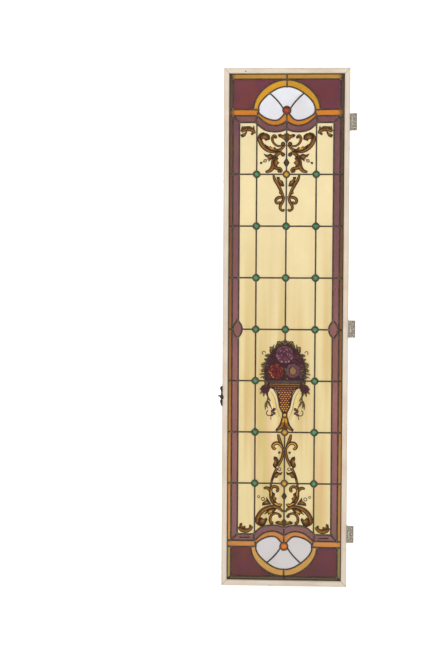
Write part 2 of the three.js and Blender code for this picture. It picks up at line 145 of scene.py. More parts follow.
class Finish:
    """A material being made: its main shader, and short ways to lay patterns over it."""

    def __init__(self, name, roughness, metallic=0.0):
        self.material = bpy.data.materials.new(name)
        self.material.use_nodes = True
        self.nodes = self.material.node_tree.nodes
        self.shader = self.nodes["Principled BSDF"]
        self.shader.inputs["Roughness"].default_value = roughness
        self.shader.inputs["Metallic"].default_value = metallic
        self.place = self.nodes.new("ShaderNodeTexCoord").outputs["Object"]

    def feed(self, socket, value):
        if isinstance(value, bpy.types.NodeSocket):
            self.material.node_tree.links.new(value, socket)
        else:
            socket.default_value = value

    def math(self, operation, *values):
        node = self.nodes.new("ShaderNodeMath")
        node.operation = operation
        for socket, value in zip(node.inputs, values):
            self.feed(socket, value)
        return node.outputs[0]

    def axis(self, index):
        node = self.nodes.new("ShaderNodeSeparateXYZ")
        self.feed(node.inputs[0], self.place)
        return node.outputs[index]

    def stretched(self, scale):
        node = self.nodes.new("ShaderNodeMapping")
        self.feed(node.inputs["Vector"], self.place)
        node.inputs["Scale"].default_value = scale
        return node.outputs[0]

    def noise(self, scale, detail=2.0, stretch=(1, 1, 1)):
        node = self.nodes.new("ShaderNodeTexNoise")
        self.feed(node.inputs["Vector"], self.stretched(stretch))
        node.inputs["Scale"].default_value = scale
        node.inputs["Detail"].default_value = detail
        return node.outputs[0]

    def cells(self, scale, stretch=(1, 1, 1)):
        node = self.nodes.new("ShaderNodeTexVoronoi")
        node.feature = "SMOOTH_F1"
        self.feed(node.inputs["Vector"], self.stretched(stretch))
        node.inputs["Scale"].default_value = scale
        return node.outputs["Distance"]

    def attribute(self, name):
        node = self.nodes.new("ShaderNodeAttribute")
        node.attribute_name = name
        return node.outputs["Fac"]

    def ramp(self, factor, *stops):
        """A colour that runs through the stops, each a place from 0 to 1 and a colour."""
        node = self.nodes.new("ShaderNodeValToRGB")
        self.feed(node.inputs[0], factor)
        elements = node.color_ramp.elements
        first, last = elements[0], elements[-1]
        first.position, first.color = stops[0][0], (*stops[0][1], 1)
        last.position, last.color = stops[-1][0], (*stops[-1][1], 1)
        for place, colour in stops[1:-1]:
            elements.new(place).color = (*colour, 1)
        return node.outputs[0]

    def between(self, value, low, high, top=1.0):
        """0 where value is low or less, rising to top where it is high."""
        node = self.nodes.new("ShaderNodeMapRange")
        for socket, number in zip(node.inputs, (value, low, high, 0.0, top)):
            self.feed(socket, number)
        return node.outputs[0]

    def mix(self, factor, first, second, blend="MIX"):
        node = self.nodes.new("ShaderNodeMix")
        node.data_type = "RGBA"
        node.blend_type = blend
        for index, value in ((0, factor), (6, first), (7, second)):
            is_colour = isinstance(value, tuple)
            self.feed(node.inputs[index], (*value, 1) if is_colour else value)
        return node.outputs[2]

    def colour(self, value):
        self.feed(self.shader.inputs["Base Color"], value)

    def bump(self, height, depth):
        """Relief: the height pattern, 0 to 1, stands for this depth in millimetres."""
        node = self.nodes.new("ShaderNodeBump")
        node.inputs["Distance"].default_value = depth * MM
        self.feed(node.inputs["Height"], height)
        self.feed(self.shader.inputs["Normal"], node.outputs[0])

    def see_through(self, tint, solid):
        """Lets tinted light through, beside the share of the surface that is solid."""
        clear = self.nodes.new("ShaderNodeBsdfTransparent")
        self.feed(clear.inputs["Color"], tint)
        mixed = self.nodes.new("ShaderNodeMixShader")
        mixed.inputs[0].default_value = solid
        self.feed(mixed.inputs[1], clear.outputs[0])
        self.feed(mixed.inputs[2], self.shader.outputs[0])
        self.feed(self.nodes["Material Output"].inputs["Surface"], mixed.outputs[0])


def glass(name, shade, solid, mottle=0.14, pattern=(1, 1, 1), ripple=0.25, casts=()):
    """Coloured cathedral glass: body colour, light let through, and a hammered surface.

    A ray meets the front and the back of a pane, so each lets through the root of the colour.
    Each pane's own tone, from 0 to 1, shifts it a little. A cast changes the colour by place; it
    is given the power, 1 or a half, to which its own colours are raised.
    """
    finish = Finish(name, roughness=0.16)
    clouds = finish.noise(14, 3, pattern)
    dimples = finish.cells(150)
    tone = finish.math("ADD", finish.math("MULTIPLY", clouds, 0.6), finish.attribute("tone"))
    tone = finish.math("ADD", tone, finish.math("MULTIPLY", dimples, 0.25))
    out = []
    for power in (1.0, 0.5):
        colour, depth = raised(shade, power), mottle * power
        colour = finish.ramp(
            tone, (0.25, shaded(colour, 1 - depth)), (0.6, colour), (1, shaded(colour, 1 + depth))
        )
        for cast in casts:
            colour = cast(finish, colour, power)
        out.append(colour)
    finish.colour(out[0])
    finish.bump(finish.math("ADD", dimples, finish.noise(60, 2)), ripple)
    finish.see_through(out[1], solid)
    return finish.material


def raised(shade, power):
    return tuple(c**power for c in srgb(*shade))


def cream_streaks(finish, colour, power):
    """Vertical ochre, rosy and greenish streaks, faint at the top and stronger below the middle."""
    low = finish.between(finish.axis(2), 0.45, -0.15)
    reed = finish.noise(24, 2, (1, 1, 0.05))
    ochre = finish.math("MULTIPLY", finish.between(reed, 0.46, 0.66, 0.7), low)
    leafy = finish.between(finish.noise(19, 1, (1.3, 1, 0.06)), 0.54, 0.7, 0.55)
    leafy = finish.math("MULTIPLY", leafy, low)
    rosy = finish.between(finish.noise(15, 1, (1.7, 1, 0.1)), 0.55, 0.7, 0.4)
    rosy = finish.math("MULTIPLY", rosy, low)
    colour = finish.mix(finish.math("MULTIPLY", low, 0.6), colour, raised((220, 204, 150), power))
    streaks = (ochre, (208, 172, 112)), (leafy, (196, 196, 118)), (rosy, (222, 178, 140))
    for factor, shade in streaks:
        colour = finish.mix(factor, colour, raised(shade, power))
    return colour


def by_height(shade, *stops):
    """A cast from the given colour to others by height: 0 at the foot of the leaf, 1 at its top."""
    def cast(finish, colour, power):
        half = LEAF_HEIGHT / 2 * MM
        share = finish.between(finish.axis(2), MIDDLE_Z - half, MIDDLE_Z + half)
        ratios = (
            (place, tuple(c / base for c, base in zip(raised(other, power), raised(shade, power))))
            for place, other in stops
        )
        return finish.mix(1.0, colour, finish.ramp(share, *ratios), "MULTIPLY")

    return cast


def rebate_soot_and_shadow(finish, colour, power):
    """Soot and a painted shadow of the frame, darkening the glass in the rebate beside both stiles, in the
    upper half.
    """
    across = finish.math("ABSOLUTE", finish.math("SUBTRACT", finish.axis(0), MIDDLE_X))
    edge = finish.between(across, (BORDER_X - 10) * MM, (BORDER_X + 5) * MM)
    high = finish.between(finish.axis(2), MIDDLE_Z - 0.1, MIDDLE_Z + 0.3)
    dark = finish.math("MULTIPLY", finish.math("MULTIPLY", edge, high), 0.75)
    return finish.mix(dark, colour, raised((78, 52, 34), power))


def blooms(shade, size, share):
    """A cast of large soft patches of a second colour."""
    def cast(finish, colour, power):
        patches = finish.between(finish.noise(size, 3), 0.42, 0.66, share)
        return finish.mix(patches, colour, raised(shade, power))

    return cast


def paint(name, shade, solid=0.8, wear=0.25):
    """Fired paint on the glass: matt, slightly see-through, and thin in places."""
    body = srgb(*shade)
    finish = Finish(name, roughness=0.6)
    finish.shader.inputs["Specular IOR Level"].default_value = 0.15
    patches = finish.noise(130, 3)
    finish.colour(
        finish.ramp(patches, (0.3, shaded(body, 1 - wear)), (0.7, shaded(body, 1 + wear)))
    )
    finish.bump(finish.cells(150), 0.15)
    through = tuple(math.sqrt(c) for c in body)
    finish.see_through(finish.ramp(patches, (0.3, through), (0.75, shaded(through, 1.2))), solid)
    return finish.material


def metal(name, dark, light, roughness, metallic, grain=90, relief=0.15):
    finish = Finish(name, roughness, metallic)
    patches = finish.noise(grain, 4)
    finish.colour(finish.ramp(patches, (0.32, srgb(*dark)), (0.7, srgb(*light))))
    finish.bump(finish.noise(grain * 3, 3), relief)
    return finish.material


HALF_SKEW = (LEAF_HEIGHT - LEAF_WIDTH) / 2 * MM  # how much farther up than across a mitre lies


def painted_wood(name, along):
    """Old cream paint: brush marks along the member, a rosy inner face, and outer arrises greyed by painted
    shade and worn by chips.
    """
    finish = Finish(name, roughness=0.5)
    stretch = tuple(0.04 if axis == along else 1 for axis in range(3))
    brush = finish.noise(230, 3, stretch)
    stains = finish.noise(9, 4)
    across = finish.math("ABSOLUTE", finish.math("SUBTRACT", finish.axis(0), MIDDLE_X))
    upward = finish.math("ABSOLUTE", finish.math("SUBTRACT", finish.axis(2), MIDDLE_Z))
    # Near the leaf's outer edges: painted shade greys them, and chips gather there.
    rim = finish.math(
        "MAXIMUM",
        finish.between(across, (LEAF_WIDTH / 2 - 8) * MM, (LEAF_WIDTH / 2 - 2) * MM),
        finish.between(upward, (LEAF_HEIGHT / 2 - 8) * MM, (LEAF_HEIGHT / 2 - 2) * MM),
    )
    colour = finish.ramp(
        stains, (0.3, srgb(196, 178, 160)), (0.55, srgb(207, 194, 178)), (0.8, srgb(211, 201, 183))
    )
    # painted shade: the rounded outer arrises turn greyer
    colour = finish.mix(finish.math("MULTIPLY", rim, 0.55), colour, srgb(184, 176, 162))
    colour = finish.mix(finish.between(brush, 0.35, 0.75, 0.35), colour, srgb(180, 162, 142))
    chips = finish.math("MULTIPLY", finish.noise(55, 5), finish.math("ADD", rim, 0.35))
    colour = finish.mix(finish.between(chips, 0.82, 0.9, 0.8), colour, srgb(150, 122, 96))
    skew = finish.math("SUBTRACT", finish.math("SUBTRACT", upward, across), HALF_SKEW)
    crack = finish.between(finish.math("ABSOLUTE", skew), 1.6 * MM, 0.7 * MM, 0.75)
    colour = finish.mix(crack, colour, srgb(128, 104, 84))
    finish.colour(colour)
    finish.bump(brush, 0.35)
    return finish.material


CREAM = glass("glass_cream", (232, 217, 173), 0.55, mottle=0.06, casts=[cream_streaks])
PURPLE = glass(
    "glass_purple", (166, 108, 108), 0.5, mottle=0.2, pattern=(1, 1, 0.2),
    casts=[
        by_height((166, 108, 108), (0, (124, 88, 90)), (0.16, (142, 98, 98)), (0.36, (166, 108, 104)),
                  (0.6, (138, 88, 96)), (0.88, (124, 76, 88)), (1, (122, 72, 76))),
        blooms((130, 92, 70), 11, 0.45),
    ],
)
MAROON = glass(
    "glass_maroon", (116, 48, 58), 0.5, mottle=0.3, ripple=0.4,
    casts=[
        by_height((116, 48, 58), (0, (104, 56, 56)), (0.3, (110, 54, 58)), (1, (116, 48, 58))),
        blooms((106, 50, 80), 16, 0.6), blooms((122, 60, 44), 21, 0.5),
    ],
)
OPAL = glass(
    "glass_opal", (222, 224, 230), 0.8, mottle=0.06, ripple=0.15,
    casts=[by_height((222, 224, 230), (0.1, (204, 200, 198)), (0.5, (222, 224, 230))),
           blooms((206, 202, 204), 13, 0.6)],
)
# Golden and orange glass take soot and a painted shadow of the frame near the stiles, in the upper half.
GOLDEN = glass("glass_golden", (196, 146, 50), 0.5, mottle=0.2, pattern=(0.3, 1, 1), casts=[rebate_soot_and_shadow])
YELLOW = glass("glass_yellow", (208, 154, 26), 0.5, mottle=0.18)
TAN = glass("glass_tan", (206, 160, 82), 0.5, mottle=0.16)
ORANGE = glass(
    "glass_orange", (214, 146, 72), 0.5, mottle=0.2, pattern=(0.4, 1, 1),
    casts=[by_height((214, 146, 72), (0.3, (206, 138, 70)), (0.6, (212, 132, 28))), rebate_soot_and_shadow],
)
SIDE_AMBER = glass(
    "glass_side_amber", (208, 154, 78), 0.5, mottle=0.2, pattern=(1, 1, 0.15),
    casts=[
        by_height((208, 154, 78), (0, (208, 154, 78)), (0.22, (196, 140, 62)), (0.38, (164, 112, 46)),
                  (0.6, (136, 92, 48)), (0.8, (108, 72, 44)), (1, (84, 62, 50))),
    ],
)
OLIVE_GLASS = glass("glass_olive", (168, 148, 84), 0.5, mottle=0.2, pattern=(1, 1, 0.3))
DULL = glass("glass_dull", (126, 106, 76), 0.5, mottle=0.3, pattern=(0.2, 1, 2))

LEAD = metal("lead_came", (38, 28, 18), (74, 58, 40), roughness=0.55, metallic=0.3)
DARK_LEAD = metal("lead_blackened", (28, 20, 14), (50, 38, 28), roughness=0.65, metallic=0.2)
SOLDER = metal("solder", (56, 50, 46), (102, 92, 84), roughness=0.45, metallic=0.5)
STEEL = metal("hinge_steel", (92, 84, 70), (176, 170, 156), roughness=0.42, metallic=0.75, grain=160)
SCREW = metal("screw_steel", (60, 54, 46), (130, 122, 108), roughness=0.45, metallic=0.8)
BRONZE = metal("latch_bronze", (30, 22, 12), (74, 56, 34), roughness=0.45, metallic=0.7, grain=140)
RUST = metal("rusted_steel", (46, 34, 26), (96, 76, 58), roughness=0.6, metallic=0.5, grain=200)
STUB_STEEL = metal("stub_steel", (30, 26, 24), (60, 54, 50), roughness=0.45, metallic=0.5)


# --- Meshes -----------------------------------------------------------------------------------


class Build:
    """Points and faces of one piece, gathered from several closed shells, in the drawing."""

    def __init__(self):
        self.points, self.faces, self.finishes, self.tones = [], [], [], []

    def add(self, points, faces, finish, tone=0.0):
        """A shell. finish is one material, or a list with one for each face."""
        start = len(self.points)
        self.points += [tuple(p) for p in points]
        self.faces += [tuple(start + i for i in face) for face in faces]
        self.finishes += finish if isinstance(finish, list) else [finish] * len(faces)
        self.tones += tone if isinstance(tone, list) else [tone] * len(faces)

    def piece(self, name, slot, body="casement", crease=35):
        mesh = bpy.data.meshes.new(name)
        mesh.from_pydata([in_model(*p) for p in self.points], [], self.faces)
        used = list(dict.fromkeys(self.finishes))
        for material in used:
            mesh.materials.append(material)
        mesh.polygons.foreach_set("material_index", [used.index(f) for f in self.finishes])
        mesh.polygons.foreach_set("use_smooth", [True] * len(self.faces))
        mesh.attributes.new("tone", "FLOAT", "FACE").data.foreach_set("value", self.tones)
        shell = bmesh.new()
        shell.from_mesh(mesh)
        bmesh.ops.recalc_face_normals(shell, faces=shell.faces)
        shell.to_mesh(mesh)
        shell.free()
        mesh.set_sharp_from_angle(angle=math.radians(crease))
        made = bpy.data.objects.new(name, mesh)
        bpy.context.scene.collection.objects.link(made)
        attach(made, body)
        return made


def ring_faces(first, second, count):
    """Faces between two closed rings of points that start at these indexes."""
    return [
        (first + i, first + (i + 1) % count, second + (i + 1) % count, second + i)
        for i in range(count)
    ]


def swept(build, path, section, finish, closed=False):
    """A solid that runs along a path in the plane of the glass. section: (across, depth) points."""
    count = len(path)
    points, faces = [], []
    for i, here in enumerate(path):
        before = path[i - 1] if i or closed else here
        after = path[(i + 1) % count] if i + 1 < count or closed else here
        into, out = here - before, after - here
        first = (into if into.length else out).normalized()
        last = (out if out.length else into).normalized()
        along = (first + last).normalized()
        side = Vector((-along.y, along.x)) / max(along.dot(first), 0.5)
        points += [(here.x + side.x * u, v, here.y + side.y * u) for u, v in section]
    size = len(section)
    for i in range(count if closed else count - 1):
        faces += ring_faces(i * size, (i + 1) % count * size, size)
    if not closed:
        faces.append(tuple(range(size)))
        faces.append(tuple(reversed(range((count - 1) * size, count * size))))
    build.add(points, faces, finish)


def curve(places, steps):
    """A smooth line through the places."""
    points = []
    last = len(places) - 1
    for i in range(last):
        p0, p1, p2, p3 = (
            Vector(places[min(max(j, 0), last)]) for j in (i - 1, i, i + 1, i + 2)
        )
        for k in range(steps):
            t = k / steps
            m1, m2 = (p2 - p0) / 2, (p3 - p1) / 2
            points.append(
                (2 * t**3 - 3 * t**2 + 1) * p1 + (t**3 - 2 * t**2 + t) * m1
                + (3 * t**2 - 2 * t**3) * p2 + (t**3 - t**2) * m2
            )
    return points + [Vector(places[last])]


# --- Lead lines -------------------------------------------------------------------------------


def arch_line(end, half_width, rise, foot, waist, steps=40):
    points = []
    for i in range(steps + 1):
        turn = math.pi * i / steps
        reach = 1 - waist * math.sin(2 * turn) ** 2
        x, up = -half_width * reach * math.cos(turn), rise * reach * math.sin(turn)
        points.append(at(x, foot - up, end))
    return points


def almond_line(side, bulge, steps=14):
    along = (2 * i / steps - 1 for i in range(steps + 1))
    return [
        Vector((
            side * (ALMOND["x"] + bulge * ALMOND["half_width"] * (1 - a * a)),
            row_height(0) + ALMOND["half_height"] * a,
        ))
        for a in along
    ]


def fan_line(side, end, steps=10):
    start, lean, foot = (at(side * x, drop, end) for x, drop in FAN)
    ts = (i / steps for i in range(steps + 1))
    return [(1 - t) ** 2 * start + 2 * t * (1 - t) * lean + t * t * foot for t in ts]


def ring_line(x, z, radius, squareness=2.0, steps=32):
    """A closed line round a roundel. Below 2, squareness draws it out to a soft diamond."""
    points = []
    for i in range(steps):
        turn = 2 * math.pi * i / steps
        c, s = math.cos(turn), math.sin(turn)
        reach = radius / (abs(c) ** squareness + abs(s) ** squareness) ** (1 / squareness)
        points.append(Vector((x + reach * c, z + reach * s)))
    return points


ROUNDELS = [
    (x, row_height(row))
    for row in ROWS
    for x in (-COLUMN_X, 0, COLUMN_X)
    if x or row != BASKET_ROW
]
AMBER_ROUNDELS = [(0, row_height(row)) for row in (-3, 2, 3)]
JEWELS = [tuple(at(0, JEWEL_DROP, end)) for end in (1, -1)]
DIAMOND = 1.55


def runs(x, start, stop, cuts):
    """An upright line from start down to stop, broken where it meets the rings at the cuts."""
    places = [start]
    for z in cuts:
        places += [z + ROUNDEL_RING, z - ROUNDEL_RING]
    places.append(stop)
    return [((x, a), (x, b)) for a, b in zip(places[::2], places[1::2])]


def lead_lines():
    """Every lead of the panel as a list of points and a width."""
    lines = []

    def add(*points, width=LEAD_WIDTH):
        lines.append(([Vector(p) for p in points], width))

    top, half = height_of(EDGE_DROP), EDGE_LEAD_WIDTH / 2
    levels = [row_height(row) for row in ROWS]
    middle = row_height(0)
    field_top, field_foot = (at(0, FIELD_DROP + 4, end).y for end in (1, -1))
    amber, purple = SWAGS["amber"][0], SWAGS["purple"][0]
    swag_foot = SWAGS["purple"][-1]
    for side in (-1, 1):
        add((side * EDGE_X, -top - half), (side * EDGE_X, top + half), width=EDGE_LEAD_WIDTH)
        add((-EDGE_X, side * top), (EDGE_X, side * top), width=EDGE_LEAD_WIDTH)
        add(at(side * BORDER_X, BAR_FOOT), at(side * BORDER_X, BAR_FOOT, -1))
        tip = ALMOND["half_height"] - 4
        add(at(side * FIELD_X, FIELD_DROP), (side * FIELD_X, middle + tip))
        add(at(side * FIELD_X, FIELD_DROP, -1), (side * FIELD_X, middle - tip))
        add(*almond_line(side, -1))
        add(*almond_line(side, 1))
        add((side * (ALMOND["x"] + ALMOND["half_width"]), middle), (side * EDGE_X, middle))
        for outline in (FLOWERS, BASKET):
            add(*((side * x, row_height(BASKET_ROW) + rise) for x, rise in outline),
                width=THIN_LEAD_WIDTH)
        for run in runs(side * COLUMN_X, field_top, field_foot, levels):
            add(*run)
        for row, z in zip(ROWS, levels):
            outer = ALMOND["x"] - ALMOND["half_width"] if row == 0 else FIELD_X
            inner = 0 if row == BASKET_ROW else ROUNDEL_RING
            add((side * outer, z), (side * (COLUMN_X + ROUNDEL_RING), z))
            add((side * (COLUMN_X - ROUNDEL_RING), z), (side * inner, z))
            if row:
                add((side * FIELD_X, z), (side * BORDER_X, z))
                add((side * BORDER_X, z), (side * EDGE_X, z))
        for end in (1, -1):
            def join(*places):
                add(*(at(side * x, drop, end) for x, drop in places))

            join((BORDER_X, STRIP_DROP), (BORDER_X, BAR_TOP))
            add(at(side * BORDER_X, STRIP_DROP, end), (side * EDGE_X, end * height_of(EDGE_DROP)))
            join((BORDER_X, BAR_TOP), (ARCH["half_width"], BAR_TOP))
            join((EDGE_X, BAR_TOP), (BORDER_X, BAR_TOP))
            join((BORDER_X, BAR_FOOT), amber)
            join((EDGE_X, BAR_FOOT), (BORDER_X, BAR_FOOT))
            join((FIELD_X, FIELD_DROP), purple)
            join((BORDER_X, BAR_FOOT), (FIELD_X, FIELD_DROP))
            join((ARCH["half_width"], ARCH["foot"]), (LUNETTE["half_width"], ARCH["foot"]))
            join((LUNETTE["half_width"], LUNETTE["foot"]), amber)
            join(amber, purple)
            for places in SWAGS.values():
                add(*curve([at(side * x, drop, end) for x, drop in places], 6))
            add(*fan_line(side, end))
    for end in (1, -1):
        add(at(-BORDER_X, STRIP_DROP, end), at(BORDER_X, STRIP_DROP, end))
        add(*arch_line(end, **ARCH))
        add(*arch_line(end, **LUNETTE))
        add((0, end * height_of(EDGE_DROP)), at(0, LUNETTE["foot"] - LUNETTE["rise"], end))
        add(at(0, JEWEL_DROP + JEWEL_RING, end), at(*swag_foot, end))
    above = [z for row, z in zip(ROWS, levels) if row < BASKET_ROW]
    below = [z for row, z in zip(ROWS, levels) if row > BASKET_ROW + 1]
    flower_top = row_height(BASKET_ROW) + FLOWERS[-1][1]
    basket_foot = row_height(BASKET_ROW + 1) - ROUNDEL_RING
    for run in runs(0, at(*swag_foot).y, flower_top, above):
        add(*run)
    for run in runs(0, basket_foot, at(*swag_foot, -1).y, below):
        add(*run)
    return lines


LINES = lead_lines()
RINGS = [
    *(ring_line(x, z, ROUNDEL_RING, DIAMOND) for x, z in ROUNDELS),
    *(ring_line(x, z, JEWEL_RING) for x, z in JEWELS),
]


def came_section(width):
    """A lead came: rounded flanges at the front and back of a thin heart."""
    half = width / 2
    crown = [(-1, 0), (-0.92, 0.45), (-0.6, 0.85), (0, 1), (0.6, 0.85), (0.92, 0.45), (1, 0)]
    front = [(u * half, PANEL_FRONT + FLANGE * (1 - rise)) for u, rise in crown]
    back = [(-u * half, PANEL_BACK - FLANGE * (1 - rise)) for u, rise in crown]
    inner, outer = PANEL_FRONT + FLANGE, PANEL_BACK - FLANGE
    waist = HEART / 2
    return [*front, (waist, inner), (waist, outer), *back, (-waist, outer), (-waist, inner)]


def make_leads():
    build = Build()
    for points, width in LINES:
        swept(build, points, came_section(width), DARK_LEAD if width == THIN_LEAD_WIDTH else LEAD)
    for ring in RINGS:
        swept(build, ring, came_section(LEAD_WIDTH), LEAD, closed=True)
    cames = build.piece("lead_cames", "lead")
    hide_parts("leadwork")


def joints():
    """Where leads meet: the ends of the lines, except those that run into a ring."""
    ringed = [(Vector(spot), ROUNDEL_RING) for spot in ROUNDELS]
    ringed += [(Vector(spot), JEWEL_RING) for spot in JEWELS]
    found = []
    for points, width in LINES:
        for end in (points[0], points[-1]) if width > THIN_LEAD_WIDTH else ():
            free = all((end - centre).length > reach + 3 for centre, reach in ringed)
            inside = abs(end.x) < EDGE_X + 1 and abs(end.y) < height_of(EDGE_DROP) + 1
            if free and inside and all((end - other).length > 3 for other in found):
                found.append(end)
    return found


def make_solder():
    """A low, uneven blob over each joint, on both sides of the panel."""
    build = Build()
    sides = 14
    for spot in joints():
        reach = 4.2 * chance.uniform(0.85, 1.15)
        wave, lean = chance.uniform(0, 6.3), chance.uniform(0.05, 0.16)
        for face, outward in ((PANEL_FRONT, -1), (PANEL_BACK, 1)):
            points = []
            for share, rise in ((1.0, -0.9), (0.82, 0.1), (0.45, 0.4)):
                for i in range(sides):
                    turn = outward * 2 * math.pi * i / sides
                    r = reach * share * (1 + lean * math.sin(2 * turn + wave))
                    points.append((
                        spot.x + r * math.cos(turn),
                        face + outward * rise,
                        spot.y + r * math.sin(turn),
                    ))
            points.append((spot.x, face + outward * 0.5, spot.y))
            faces = ring_faces(0, sides, sides) + ring_faces(sides, 2 * sides, sides)
            faces += [(2 * sides + i, 2 * sides + (i + 1) % sides, 3 * sides) for i in range(sides)]
            faces.append(tuple(reversed(range(sides))))
            build.add(points, faces, SOLDER)
    build.piece("solder_joints", "lead")


make_leads()
make_solder()

# --- Panes ------------------------------------------------------------------------------------


def areas_between(lines):
    """The closed areas between the lines: a list of outlines, each with a place inside it."""
    points, edges = [], []
    for line in lines:
        start = len(points)
        points += line
        edges += [(start + i, start + i + 1) for i in range(len(line) - 1)]
    points, edges, triangles, _, drawn, _ = delaunay_2d_cdt(points, edges, [], 0, 1e-3)
    walls = {frozenset(edge) for edge, source in zip(edges, drawn) if source}
    beside = {}
    for index, (a, b, c) in enumerate(triangles):
        for edge in ((a, b), (b, c), (c, a)):
            beside.setdefault(frozenset(edge), []).append(index)
    area_of = [None] * len(triangles)
    groups = []
    for first in range(len(triangles)):
        if area_of[first] is not None:
            continue
        area_of[first] = len(groups)
        queue, group = [first], []
        while queue:
            index = queue.pop()
            group.append(index)
            a, b, c = triangles[index]
            for edge in ((a, b), (b, c), (c, a)):
                pair = frozenset(edge)
                for other in () if pair in walls else beside[pair]:
                    if area_of[other] is None:
                        area_of[other] = len(groups)
                        queue.append(other)
        groups.append(group)
    found = []
    for number, group in enumerate(groups):
        after, best = {}, (0, None)
        for index in group:
            a, b, c = triangles[index]
            size = (points[b] - points[a]).cross(points[c] - points[a])
            best = max(best, (abs(size), index))
            for edge in ((a, b), (b, c), (c, a)):
                if sum(area_of[t] == number for t in beside[frozenset(edge)]) == 1:
                    after[edge[0]] = edge[1]
        here = start = next(iter(after))
        outline = []
        while True:
            outline.append(points[here])
            here = after[here]
            if here == start or len(outline) > len(after):
                break
        middle = sum((points[i] for i in triangles[best[1]]), Vector((0, 0))) / 3
        found.append((outline, middle))
    return found


def shrunk(outline, inset):
    """The outline moved inwards, so that a pane ends at the heart of its leads."""
    outline = [p for i, p in enumerate(outline) if (p - outline[i - 1]).length > SHORTEST_SIDE]
    count = len(outline)
    moved = []
    for i, here in enumerate(outline):
        first = (here - outline[i - 1]).normalized()
        last = (outline[(i + 1) % count] - here).normalized()
        along = first + last
        along = along.normalized() if along.length > 1e-4 else first
        inward = Vector((-along.y, along.x))
        moved.append(here + inward * inset / max(along.dot(first), 0.5))
    return moved


SHORTEST_SIDE = 1.0  # of a pane's outline
REACH = 3.0  # how far the end of a line may lie from the middle of the lead that it runs to


def nearest_on(line, spot):
    """The place on a line that is nearest to a spot."""
    best = line[0]
    for a, b in zip(line, line[1:]):
        along = b - a
        share = min(max((spot - a).dot(along) / along.length_squared, 0), 1)
        place = a + along * share
        if (place - spot).length < (best - spot).length:
            best = place
    return best


def joined(lines):
    """The lines with their ends drawn to the nearest other line, so that they close the panes."""
    out = []
    for line in lines:
        line = list(line)
        others = [other for other in lines if other[0] != line[0] or other[-1] != line[-1]]
        for end in (0, -1) if line[0] != line[-1] else ():
            places = [nearest_on(other, line[end]) for other in others]
            place = min(places, key=lambda p: (p - line[end]).length)
            if (place - line[end]).length < REACH:
                line[end] = place
        out.append(line)
    return out


CAD_PANES = {
    name: BVHTree.FromPolygons(
        [v.co for v in node.data.vertices], [p.vertices for p in node.data.polygons]
    )
    for name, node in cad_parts.items()
    if any(part in name for part in ("pane", "band", "border", "fan", "almond", "glass"))
}


def cad_pane_at(spot):
    """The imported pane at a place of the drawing, or None under a roundel or jewel."""
    start = in_model(spot.x, -100, spot.y)
    for name, tree in CAD_PANES.items():
        if tree.ray_cast(start, Vector((0, 1, 0)))[0] is not None:
            return name
    return None


def glass_at(name, spot):
    """The glass of a pane, by the piece that it belongs to and its place there."""
    family = name.split("_")[0]
    plain = {"cream": CREAM, "purple": PURPLE, "maroon": MAROON, "opal": OPAL}
    if family in plain:
        return plain[family]
    if family in ("flower", "basket"):
        return CREAM
    drop = LEAF_HEIGHT / 2 - spot.y
    upper = drop < MIDDLE_DROP
    drop = drop if upper else 2 * MIDDLE_DROP - drop
    if BAR_TOP < drop < BAR_FOOT:
        return ORANGE
    if drop < STRIP_DROP:
        return GOLDEN if upper else DULL
    if abs(spot.x) > BORDER_X:
        return OLIVE_GLASS if drop < BAR_TOP and not upper else SIDE_AMBER
    if drop < ARCH["foot"] - 2 and abs(spot.x) < ARCH["half_width"]:
        return YELLOW if upper else TAN
    return ORANGE


def covers(shape, spot):
    """Whether a closed shape winds round a spot."""
    turns = 0
    for a, b in zip(shape, shape[1:] + shape[:1]):
        if (a.y <= spot.y) != (b.y <= spot.y):
            upward = b.y > a.y
            if ((b.x - a.x) * (spot.y - a.y) - (b.y - a.y) * (spot.x - a.x) > 0) == upward:
                turns += 1 if upward else -1
    return turns != 0


def triangles_between(rings):
    """Triangles that keep to every side of the closed rings: the points, and three for each."""
    points, edges = [], []
    for ring in rings:
        start, count = len(points), len(ring)
        points += ring
        edges += [(start + i, start + (i + 1) % count) for i in range(count)]
    points, _, triangles, *_ = delaunay_2d_cdt(points, edges, [], 0, 1e-4)
    return points, triangles


def in_drawing(u, depth, v):
    return u, depth, v


def slab(build, outline, front, back, finish, tone=0.0, art=None, plane=in_drawing):
    """A closed slab between two depths, painted on both faces where there is art."""
    shapes = art.over(outline) if art else []
    points, triangles = triangles_between([outline, *shapes])
    faces, colours, rim = [], [], {}
    for a, b, c in triangles:
        middle = (points[a] + points[b] + points[c]) / 3
        if not covers(outline, middle):
            continue
        faces.append((a, b, c))
        colours.append((art.colour_at(middle) if shapes else None) or finish)
        for edge in ((a, b), (b, c), (c, a)):
            if rim.pop((edge[1], edge[0]), None) is None:
                rim[edge] = True
    count = len(points)
    sheet = [plane(p.x, depth, p.y) for depth in (front, back) for p in points]
    turned = [(c + count, b + count, a + count) for a, b, c in faces]
    walls = [(b, a, a + count, b + count) for a, b in rim]
    build.add(sheet, faces + turned + walls, colours * 2 + [finish] * len(walls), tone)


# --- Painted ornament -------------------------------------------------------------------------

